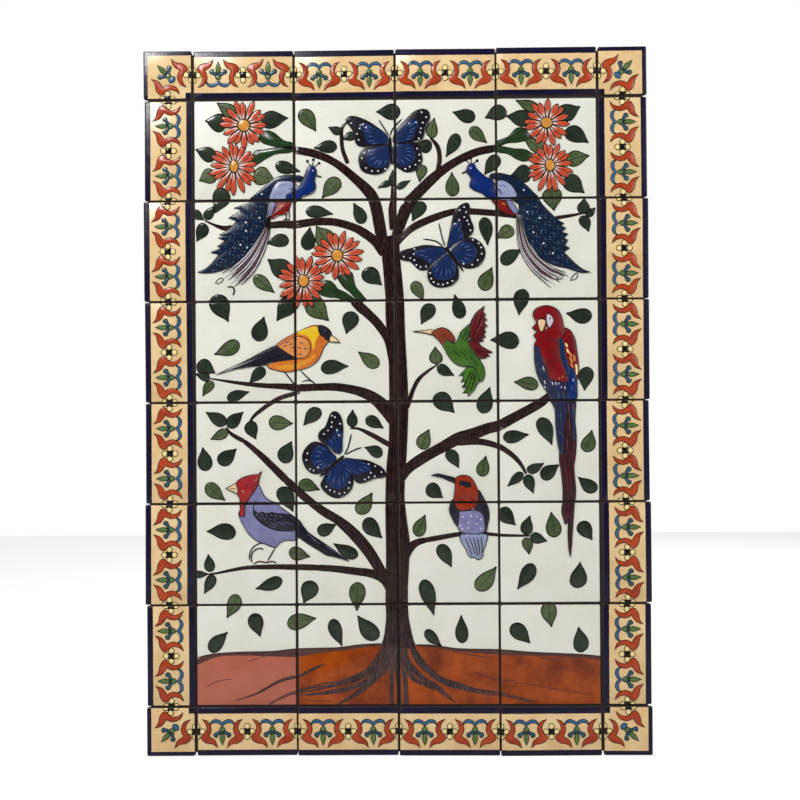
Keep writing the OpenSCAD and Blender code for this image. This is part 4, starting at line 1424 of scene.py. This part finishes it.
# %% Right peacock
add_tail(
    "3.20,5.02! 3.22,4.9 3.21,4.82 3.27,4.7 3.30,4.6 3.36,4.5 3.42,4.42 3.50,4.36 3.60,4.32 3.70,4.30 "
    "3.78,4.27 3.84,4.255 3.92,4.26! 3.85,4.29 3.78,4.34 3.72,4.40 3.66,4.46! 3.715,4.50! 3.67,4.53! "
    "3.70,4.58! 3.66,4.60! 3.70,4.64! 3.64,4.66! 3.68,4.70! 3.63,4.725! 3.66,4.745! 3.60,4.78! "
    "3.55,4.83 3.50,4.88 3.44,4.95 3.40,5.02!",
    math.radians(120),
)
add_bird(
    (
        ("belly_red", 1, "2.96,5.0 3.0,4.92 3.06,4.86 3.15,4.83 3.18,4.83 3.15,4.88 3.10,4.93 3.08,5.0"),
        ("lilac", 2, "3.09,4.99 3.13,4.99 3.21,4.87 3.19,4.84 3.14,4.88"),
        ("tail_teal", 1, "2.93,5.22 3.0,5.25 3.10,5.235 3.20,5.20 3.28,5.14 3.36,5.06 3.41,4.99 "
         "3.20,4.95 3.15,5.05 3.08,5.14 3.0,5.19"),
        ("lavender", 2, "2.98,5.0 2.97,5.08 2.99,5.15 3.04,5.18 3.11,5.16 3.17,5.10 3.20,5.02 "
         "3.15,4.98 3.06,4.98"),
        ("royal", 3, "2.71,5.26 2.71,5.31 2.74,5.345 2.78,5.34 2.80,5.30 2.85,5.25 2.90,5.21 2.97,5.17 "
         "2.98,5.08 3.01,5.02 2.97,4.98 2.90,5.02 2.84,5.06 2.77,5.09 2.735,5.13 2.75,5.20"),
    ),
    (
        ("leg", 1.4, "2.735,5.345 2.71,5.38|2.755,5.35 2.75,5.39|2.77,5.345 2.80,5.37"),
        ("leg", 1.6, "3.02,4.92 3.01,4.89 3.0,4.86|3.05,4.90 3.045,4.86|2.97,4.875 3.0,4.88 3.05,4.875"),
        ("leg", 1.1, "2.71,5.285 2.68,5.265 2.655,5.25|2.71,5.265 2.68,5.253 2.655,5.25"),
        ("lilac", 1.6, "3.02,5.12 3.06,5.13 3.11,5.10|3.03,5.04 3.08,5.05"),
        ("royal", 2.0, "2.99,5.10 3.03,5.08 3.05,5.03"),
        ("orange", 1.8, "3.05,4.95 3.09,4.93"),
        ("leg", 1.2, "3.72,4.18 3.75,4.23 3.79,4.25 3.78,4.20 3.72,4.18|3.58,4.19 3.62,4.23 3.65,4.24 "
         "3.63,4.20 3.58,4.19"),
    ),
)
dots("birds", "line", "2.70,5.385 2.745,5.40 2.81,5.375", 2.4 * MM, 0.6 * MM)
SPOTS_RIGHT = "2.745,5.30 3.30,4.86 3.42,4.80 3.36,4.66 3.46,4.55 3.55,4.45 3.27,5.08"
dots("birds", "dot", SPOTS_RIGHT, 1.4 * MM, 2.1 * MM)
add_shafts(
    "3.195,4.84 3.20,4.65 3.22,4.5 3.28,4.37 3.37,4.25 3.53,4.11",
    "3.24,4.84 3.28,4.65 3.34,4.5 3.45,4.38 3.57,4.30 3.73,4.24",
    8,
)
print("right peacock")

# %% [markdown]
# The border tiles were stamped, so one drawing serves them all. It is drawn in millimetres from a
# tile's middle, with s along the border and p outwards. A motif can be turned and shifted, which
# also makes the four corners: a flower on each cut edge, and one fleur set at a slant.

# %% Border motifs
FLAME = (
    "-30.5,24.2! -23.7,19 -13.2,16.8 -5.8,9.5 -11.6,1 -14.2,-3.2 -12.6,-11.6 -7.4,-18.4! -16.3,-14.7 "
    "-21,-5.3 -20,2.1 -17.4,6.8! -26.8,13.7"
)
FLEUR_LEAF = "0,20.5! 2.6,14.5 3.7,9.5 2.2,4.5 0,2 -2.2,4.5 -3.7,9.5 -2.6,14.5"
FLEUR_CURL = "1.0,1.0 3.2,4.0 6.5,5.0 7.5,8.3 10.5,8.6 13.0,6.0 12.0,2.6 8.5,1.4 5.5,-0.6 2.2,-0.8"
WAVE = (
    "-17.9,-9.5! -14.5,-12.6 -10,-13.2 -5,-12.2 0,-8.6 5,-12.2 10,-13.2 14.5,-12.6 17.9,-9.5! 17,-14.5 "
    "11.5,-18.0 5,-17.0 0,-13.6! -5,-17.0 -11.5,-18.0 -17,-14.5"
)
END = 75.3
print("corners of a flame:", FLAME.count("!"))


# %% Border helpers
def motif(family, glaze_name, text, turn=0, shift=(0, 0), mirror=False, rise=0.6):
    """An outlined shape given in millimetres, mirrored, turned by degrees and shifted."""
    angle = math.radians(turn)
    marks = []
    for word in text.split():
        s, p = (float(value) * MM for value in word.rstrip("!").split(","))
        s = -s if mirror else s
        x = s * math.cos(angle) - p * math.sin(angle) + shift[0] * MM
        z = s * math.sin(angle) + p * math.cos(angle) + shift[1] * MM
        marks.append((Vector((x, z)), 0.0, word.endswith("!")))
    points = [point for point, width in smooth(marks, True, 3)]
    pool(family, glaze_name, points, rise * MM, 0.1 * MM)
    bead(family, "line", line_of(points), 1.2 * MM, 1.0 * MM, 0.1 * MM, closed=True)


def border_flower(family, turn, shift):
    """Four round petals with a square dark middle."""
    for quarter in range(4):
        angle = math.radians(turn + 90 * quarter)
        middle = Vector((shift[0] + 7.9 * math.cos(angle), shift[1] + 7.9 * math.sin(angle))) * MM
        ring = round_line(middle, 4.2 * MM, 4.2 * MM, 14)
        pool(family, "butter", ring, 0.6 * MM, 0.1 * MM)
        bead(family, "line", line_of(ring), 1.3 * MM, 1.0 * MM, 0.1 * MM, closed=True)
    motif(family, "line", "-4.2,-4.2! 4.2,-4.2! 4.2,4.2! -4.2,4.2!", turn, shift, rise=0.8)


def fleur(family, turn, shift):
    """A leaf between two curls, with a ball below."""
    for mirror in (False, True):
        motif(family, "fleur_teal", FLEUR_CURL, turn, shift, mirror)
    motif(family, "fleur_green", FLEUR_LEAF, turn, shift)
    motif(family, "fleur_green", "0,1 3.2,-1 4.0,-4 0,-7.4 -4.0,-4 -3.2,-1", turn, shift)


def turned(s, p, turn):
    """A place s, p turned by degrees, in millimetres."""
    angle = math.radians(turn)
    return s * math.cos(angle) - p * math.sin(angle), s * math.sin(angle) + p * math.cos(angle)


before_border = len(shapes)
print("shapes before the border:", before_border)


# %% The border drawings
for turn in (0, 90, 180, 270):
    side = f"side_{turn}"
    bands = [turned(s, p, turn) for s, p in ((-90, -26.7), (90, -26.7), (90, 27.4), (-90, 27.4))]
    pool("cream_" + side, "cream", [Vector(place_at) * MM for place_at in bands], 0.15 * MM, rim=0.4 * MM)
    for s in (-END, 0, END):
        for mirror in (False, True):
            motif(side, "flame", FLAME, turn, turned(s, 0, turn), mirror)
        border_flower(side, turn, turned(s, 0, turn))
    for s in (-END / 2, END / 2):
        motif(side, "fleur_blue", WAVE, turn, turned(s, 0, turn))
        fleur(side, turn, turned(s, 0, turn))
    corner = f"corner_{turn}"
    edge = 36.4
    panel = ((-29.7, 29.5), (-29.7, -50), (27.2, -50), (27.2, -26.9), (50, -26.9), (50, 29.5))
    outline_points = [Vector(turned(s, p, turn)) * MM for s, p in panel]
    pool("cream_" + corner, "cream", outline_points, 0.15 * MM, rim=0.4 * MM)
    motif(corner, "flame", FLAME, turn, turned(edge, 0, turn))
    motif(corner, "flame", FLAME, turn + 90, turned(0, -edge, turn), True)
    border_flower(corner, turn, turned(edge, 0, turn))
    border_flower(corner, turn, turned(0, -edge, turn))
    cup = "-4.6,-8 0,-6.4 4.6,-8 5.2,-12 0,-14.8 -5.2,-12"
    motif(corner, "fleur_blue", cup, turn + 45, turned(-0.4, 0.2, turn))
    fleur(corner, turn + 45, turned(-0.4, 0.2, turn))
print("shapes in the drawing and its border:", len(shapes))

# %% [markdown]
# The potter drew over all the tiles at once, so lines and leaves run on from tile to tile, but
# each tile was fired alone. So every tile takes the shapes that reach it and is trimmed at the
# edge of its glaze. Bisect cuts a mesh with a plane. Each open ring it leaves is closed on its
# own, because shapes overlap here, and the operator's own fill would muddle their rings.


# %% Trimming a mesh at a tile's edge
def slice_mesh(bm, direction, distance, remove):
    """Cuts at a plane across direction. The part beyond it is removed and the cut is closed."""
    if all(vertex.co.dot(direction) <= distance for vertex in bm.verts):
        return
    everything = bm.verts[:] + bm.edges[:] + bm.faces[:]
    cut = bmesh.ops.bisect_plane(
        bm, geom=everything, dist=1e-7, plane_co=direction * distance, plane_no=direction, clear_outer=remove
    )
    if remove:
        edges = [item for item in cut["geom_cut"] if isinstance(item, bmesh.types.BMEdge)]
        rim = [edge for edge in edges if edge.is_valid and edge.is_boundary]
        bmesh.ops.holes_fill(bm, edges=rim, sides=0)


def turn_outwards(bm):
    """Turns all faces outwards. A thin sliver can come out inside out, so each volume is checked."""
    bmesh.ops.recalc_face_normals(bm, faces=bm.faces)
    waiting = set(bm.faces)
    while waiting:
        part = [waiting.pop()]
        for face in part:
            near = {other for edge in face.edges for other in edge.link_faces if other in waiting}
            waiting -= near
            part.extend(near)
        if sum(face.calc_center_median().dot(face.normal) * face.calc_area() for face in part) < 0:
            bmesh.ops.reverse_faces(bm, faces=part)


def finish_mesh(bm, name):
    """Turns the faces outwards, keeps the corners crisp and makes the mesh."""
    turn_outwards(bm)
    for face in bm.faces:
        face.smooth = True
    for edge in bm.edges:
        edge.smooth = not edge.is_manifold or edge.calc_face_angle(0.0) < math.radians(55)
    mesh = bpy.data.meshes.new(name)
    bm.to_mesh(mesh)
    bm.free()
    return mesh


def add_piece(name, mesh, glaze_names):
    """Puts a finished mesh in the scene, on the body it moves with."""
    piece = bpy.data.objects.new(name, mesh)
    bpy.context.scene.collection.objects.link(piece)
    for glaze_name in glaze_names:
        mesh.materials.append(GLAZES[glaze_name])
    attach(piece, "root")
    return piece


print("shapes to lay:", len(shapes))


# %% [markdown]
# A glazed tile rounds over at its edge, and the raised drawing rounds over with it. After a tile's
# shapes are trimmed they are scored along the edge, so that there are points to bend, and every
# point is lowered by as much as the glaze falls away below it.

# %% Laying shapes on a tile
SIDES = (Vector((1, 0, 0)), Vector((-1, 0, 0)), Vector((0, 0, 1)), Vector((0, 0, -1)))


def lay(tile_name, piece_name, chosen, origin=(0.0, 0.0)):
    """One piece from the shapes that reach a tile. Origin is the tile's middle in the drawing."""
    x, z, turn, width, height = tiles[tile_name]
    halves = (width / 2 - GLAZE_INSET, height / 2 - GLAZE_INSET)
    low_x, low_z = origin[0] - halves[0], origin[1] - halves[1]
    high_x, high_z = origin[0] + halves[0], origin[1] + halves[1]
    bm = bmesh.new()
    layers = [bm.verts.layers.float.new(mark) for mark in MARKS]
    used = []
    for shape in chosen:
        box = shape["box"]
        if box[0] > high_x or box[1] > high_z or box[2] < low_x or box[3] < low_z:
            continue
        if shape["glaze"] not in used:
            used.append(shape["glaze"])
        corners = []
        for px, pz, up, *marks in shape["points"]:
            vertex = bm.verts.new((px - origin[0], CLAY_FRONT - GLAZE - up, pz - origin[1]))
            for layer, value in zip(layers, (*marks, shape["tone"])):
                vertex[layer] = value
            corners.append(vertex)
        for face in shape["faces"]:
            bm.faces.new([corners[corner] for corner in face]).material_index = used.index(shape["glaze"])
    bm.normal_update()
    wide = [face for face in bm.faces if len(face.verts) > 4]
    bmesh.ops.triangulate(bm, faces=wide, ngon_method="EAR_CLIP")
    for side in SIDES:
        reach = halves[0] if side.x else halves[1]
        slice_mesh(bm, side, reach, True)
        for scored in (GLAZE_ROUND, GLAZE_ROUND * 0.3):
            slice_mesh(bm, side, reach - scored, False)
    if not bm.faces:
        bm.free()
        return None
    for vertex in bm.verts:
        inside = min(halves[0] - abs(vertex.co.x), halves[1] - abs(vertex.co.z))
        if inside < GLAZE_ROUND:
            short = GLAZE_ROUND - max(inside, 0.0)
            vertex.co.y += GLAZE_ROUND - math.sqrt(max(GLAZE_ROUND**2 - short**2, 0.0))
    spin = math.cos(turn), math.sin(turn)
    for vertex in bm.verts:
        vx, vy, vz = vertex.co
        vertex.co = (x + vx * spin[0] - vz * spin[1], vy, z + vx * spin[1] + vz * spin[0])
    return add_piece(piece_name, finish_mesh(bm, piece_name), used)


print("sides to trim on each tile:", len(SIDES))


# %% Picture tiles
FAMILY_SLOTS = {
    "ground": "earth_glaze",
    "bark": "bark_glaze",
    "leaves": "leaf_glaze",
    "flowers": "flower_glaze",
    "birds": "bird_glaze",
    "butterflies": "butterfly_glaze",
    "lines": "line_glaze",
}
count = 0
for row in range(ROWS):
    for column in range(COLUMNS):
        middle = spot(column + 0.5, ROWS - row - 0.5)
        place_name = f"row{row + 1}_col{column + 1}"
        for family, slot in FAMILY_SLOTS.items():
            chosen = [shape for shape in shapes if shape["family"] == family]
            if lay("picture_" + place_name, f"{family}_{place_name}", chosen, (middle.x, middle.y)):
                count += 1
print("drawn pieces on the picture tiles:", count)

# %% Border tiles
def drawing_for(name):
    """Which of the border drawings a tile carries. Three of the top tiles were laid upside down."""
    if name.startswith("corner"):
        turns = {"top_left": 0, "bottom_left": 90, "bottom_right": 180, "top_right": 270}
        return f"corner_{turns[name[7:]]}"
    turn = {"top": 0, "left": 90, "bottom": 180, "right": 270}[name.split("_")[1]]
    if name in ("border_top_2", "border_top_3", "border_top_4"):
        turn += 180
    return f"side_{turn % 360}"


for name in tiles:
    if not name.startswith("picture"):
        drawing = drawing_for(name)
        panel = [shape for shape in shapes if shape["family"] == "cream_" + drawing]
        motifs = [shape for shape in shapes if shape["family"] == drawing]
        lay(name, "cream_" + name, panel)
        lay(name, "pattern_" + name, motifs)
        count += 2
print("drawn pieces with the border:", count)

# %% [markdown]
# Under the drawing lies the white glaze: one coat over each tile's face, a little smaller than
# the clay, with soft corners. One is made for each size of tile from a cube, its four corners and
# then its front edge are bevelled, and it is copied to every tile of that size.


# %% The coat of glaze
def glaze_coat(width, height):
    """A coat of glaze in the middle of the frame, as a mesh."""
    bpy.ops.object.select_all(action="DESELECT")
    bpy.ops.mesh.primitive_cube_add(size=1.0, location=(0, CLAY_FRONT - GLAZE + GLAZE_ROUND, 0))
    coat = bpy.context.object
    coat.scale = (width - 2 * GLAZE_INSET, 2 * GLAZE_ROUND, height - 2 * GLAZE_INSET)
    bpy.ops.object.transform_apply(location=True, rotation=True, scale=True)
    bpy.ops.object.mode_set(mode="EDIT")
    for wanted, size, rounds in (("corner", 2.2 * MM, 4), ("front", GLAZE_ROUND * 0.98, 4)):
        bpy.ops.mesh.select_mode(type="EDGE")
        bpy.ops.mesh.select_all(action="DESELECT")
        bm = bmesh.from_edit_mesh(coat.data)
        for edge in bm.edges:
            a, b = (vertex.co for vertex in edge.verts)
            deep = abs(a.y - b.y) > GLAZE_ROUND
            on_front = max(a.y, b.y) < CLAY_FRONT - GLAZE + 0.1 * MM
            edge.select = deep if wanted == "corner" else on_front
        bmesh.update_edit_mesh(coat.data)
        bpy.ops.mesh.bevel(offset=size, segments=rounds, affect="EDGES")
    bpy.ops.object.mode_set(mode="OBJECT")
    bpy.ops.object.shade_smooth_by_angle(angle=math.radians(50))
    mesh = coat.data
    bpy.data.objects.remove(coat)
    return mesh


coats = {}
for name, (x, z, turn, width, height) in tiles.items():
    size = (round(width / MM, 1), round(height / MM, 1))
    if size not in coats:
        coats[size] = glaze_coat(width, height)
    mesh = coats[size].copy()
    for vertex in mesh.vertices:
        vx, vy, vz = vertex.co
        vertex.co = (
            x + vx * math.cos(turn) - vz * math.sin(turn),
            vy,
            z + vx * math.sin(turn) + vz * math.cos(turn),
        )
    coat_glaze = "white" if name.startswith("picture") else "cobalt"
    add_piece("glaze_" + name, mesh, [coat_glaze])
print("coats of glaze:", len(tiles), "in", len(coats), "sizes")

# %% [markdown]
# The clay itself shows at the sides and the back, and at the seams. Its front few millimetres are
# darkened, as painted shade in the seams between tiles. It is a coarse red-brown body with pores.
# The grout is dark, dull and sandy, and its front is darkened the same way, as painted shade. Both
# take a material of their own, and the CAD pieces are otherwise left as they are.


# %% Clay and grout
def rough_earth(name, colour, front_shade_colour, scale, front_shade):
    """A dull sandy material for fired clay or grout, darker at its front as painted shade for the seams."""
    material = bpy.data.materials.new(name)
    material.use_nodes = True
    tree = material.node_tree
    shader = tree.nodes["Principled BSDF"]
    where = add_node(tree, "ShaderNodeTexCoord").outputs["Object"]
    grain = add_node(tree, "ShaderNodeTexNoise", Vector=where, Scale=scale, Detail=6.0, Roughness=0.65)
    mottled = add_node(
        tree,
        "ShaderNodeMix",
        {"data_type": "RGBA"},
        _0=grain.outputs["Fac"],
        _6=paint(*colour),
        _7=paint(*[part * 0.72 for part in colour]),
    )
    # The front few millimetres turn darker: painted shade in the seams between the tiles.
    depth_in = add_node(tree, "ShaderNodeSeparateXYZ", Vector=where)
    front_shaded = add_node(
        tree,
        "ShaderNodeMapRange",
        Value=depth_in.outputs["Y"],
        From_Min=CLAY_FRONT + 4.5 * MM,
        From_Max=CLAY_FRONT + 2.5 * MM,
        To_Min=0.0,
        To_Max=front_shade,
    )
    face = add_node(
        tree,
        "ShaderNodeMix",
        {"data_type": "RGBA"},
        _0=front_shaded.outputs[0],
        _6=mottled.outputs[2],
        _7=paint(*front_shade_colour),
    )
    bump = add_node(tree, "ShaderNodeBump", Strength=0.5, Distance=0.4 * MM, Height=grain.outputs["Fac"])
    tree.links.new(face.outputs[2], shader.inputs["Base Color"])
    tree.links.new(bump.outputs["Normal"], shader.inputs["Normal"])
    shader.inputs["Roughness"].default_value = 0.85
    return material


# Clay and grout darken at the front, painted shade in the seams.
clay = rough_earth("fired_clay", (176, 104, 72), (60, 43, 37), 240.0, 1.0)
grout = rough_earth("dark_grout", (50, 37, 33), (36, 26, 24), 500.0, 0.6)
for name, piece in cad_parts.items():
    piece.data.materials.clear()
    piece.data.materials.append(grout if name == "grout_lattice" else clay)
print("clay bodies:", len(tiles))

# %% [markdown]
# The stage is a plain pale floor and a white surrounding. The surroundings look white to the
# camera but are dim to everything else, so the dark glazes stay dark and their reflected glints
# come from the soft lamps alone; the paler ridge tops of the glazes are painted highlight.

# %% Floor and surroundings
bpy.ops.object.select_all(action="DESELECT")
bpy.ops.mesh.primitive_plane_add(size=8.0, location=(0, 0, cad_box[0][2] - 0.5 * MM))
floor = bpy.context.object
floor.name = "floor"
floor_paint = bpy.data.materials.new("floor_paint")
floor_paint.use_nodes = True
floor_tree = floor_paint.node_tree
floor_shader = floor_tree.nodes["Principled BSDF"]
floor_shader.inputs["Base Color"].default_value = (0.5, 0.5, 0.5, 1)
floor_shader.inputs["Roughness"].default_value = 0.9
floor_shader.inputs["Emission Color"].default_value = (1, 1, 1, 1)
camera_only = add_node(floor_tree, "ShaderNodeLightPath").outputs["Is Camera Ray"]
glow = add_node(floor_tree, "ShaderNodeMath", {"operation": "MULTIPLY"}, _0=camera_only, _1=0.78)
floor_tree.links.new(glow.outputs[0], floor_shader.inputs["Emission Strength"])
floor.data.materials.append(floor_paint)
world = bpy.data.worlds.new("studio")
world.use_nodes = True
bpy.context.scene.world = world
backdrop = world.node_tree.nodes["Background"]
seen = add_node(world.node_tree, "ShaderNodeLightPath").outputs["Is Camera Ray"]
level = add_node(world.node_tree, "ShaderNodeMapRange", Value=seen, To_Min=0.05, To_Max=1.0)
world.node_tree.links.new(level.outputs[0], backdrop.inputs["Strength"])
backdrop.inputs["Color"].default_value = (1, 1, 1, 1)
print("stage:", floor.name, "at", round(floor.location.z / MM), "mm")


# %% Lamps
def soft_lamp(name, place_at, size, power):
    """A square lamp that faces the middle of the picture."""
    data = bpy.data.lights.new(name, "AREA")
    data.energy = power
    data.size = size
    lamp = bpy.data.objects.new(name, data)
    bpy.context.scene.collection.objects.link(lamp)
    lamp.location = place_at
    lamp.rotation_euler = (-Vector(place_at)).to_track_quat("-Z", "Y").to_euler()
    return lamp


soft_lamp("key_lamp", (-1.6, -2.1, 2.2), 1.5, 38)
soft_lamp("fill_lamp", (2.5, -2.3, 0.9), 1.8, 48)
soft_lamp("side_lamp", (-2.6, -1.0, -0.2), 1.0, 14)
soft_lamp("window_lamp", (-1.2, -2.5, 1.9), 0.6, 46)
soft_lamp("back_lamp", (1.2, 2.6, 1.8), 1.6, 45)

# %% [markdown]
# The camera stands a long way in front with a long lens, a touch low and a touch to the right. It
# looks almost at the middle of the picture, and leans by less than half a degree, as a camera held
# in the hand does.

# %% Camera
LENS_PER_SENSOR = 1.802
LEAN = math.radians(-0.4)
lens = bpy.data.cameras.new("camera")
lens.lens = lens.sensor_width * LENS_PER_SENSOR
camera = bpy.data.objects.new("camera", lens)
bpy.context.scene.collection.objects.link(camera)
camera.location = (37 * MM, -2.173, -18 * MM)
look = (Vector((4.7 * MM, 0, 2.3 * MM)) - camera.location).to_track_quat("-Z", "Y")
camera.rotation_euler = (look @ Quaternion((0, 0, 1), LEAN)).to_euler()
bpy.context.scene.camera = camera
bpy.context.scene.view_settings.view_transform = "Standard"
print("lens:", round(lens.lens), "mm")
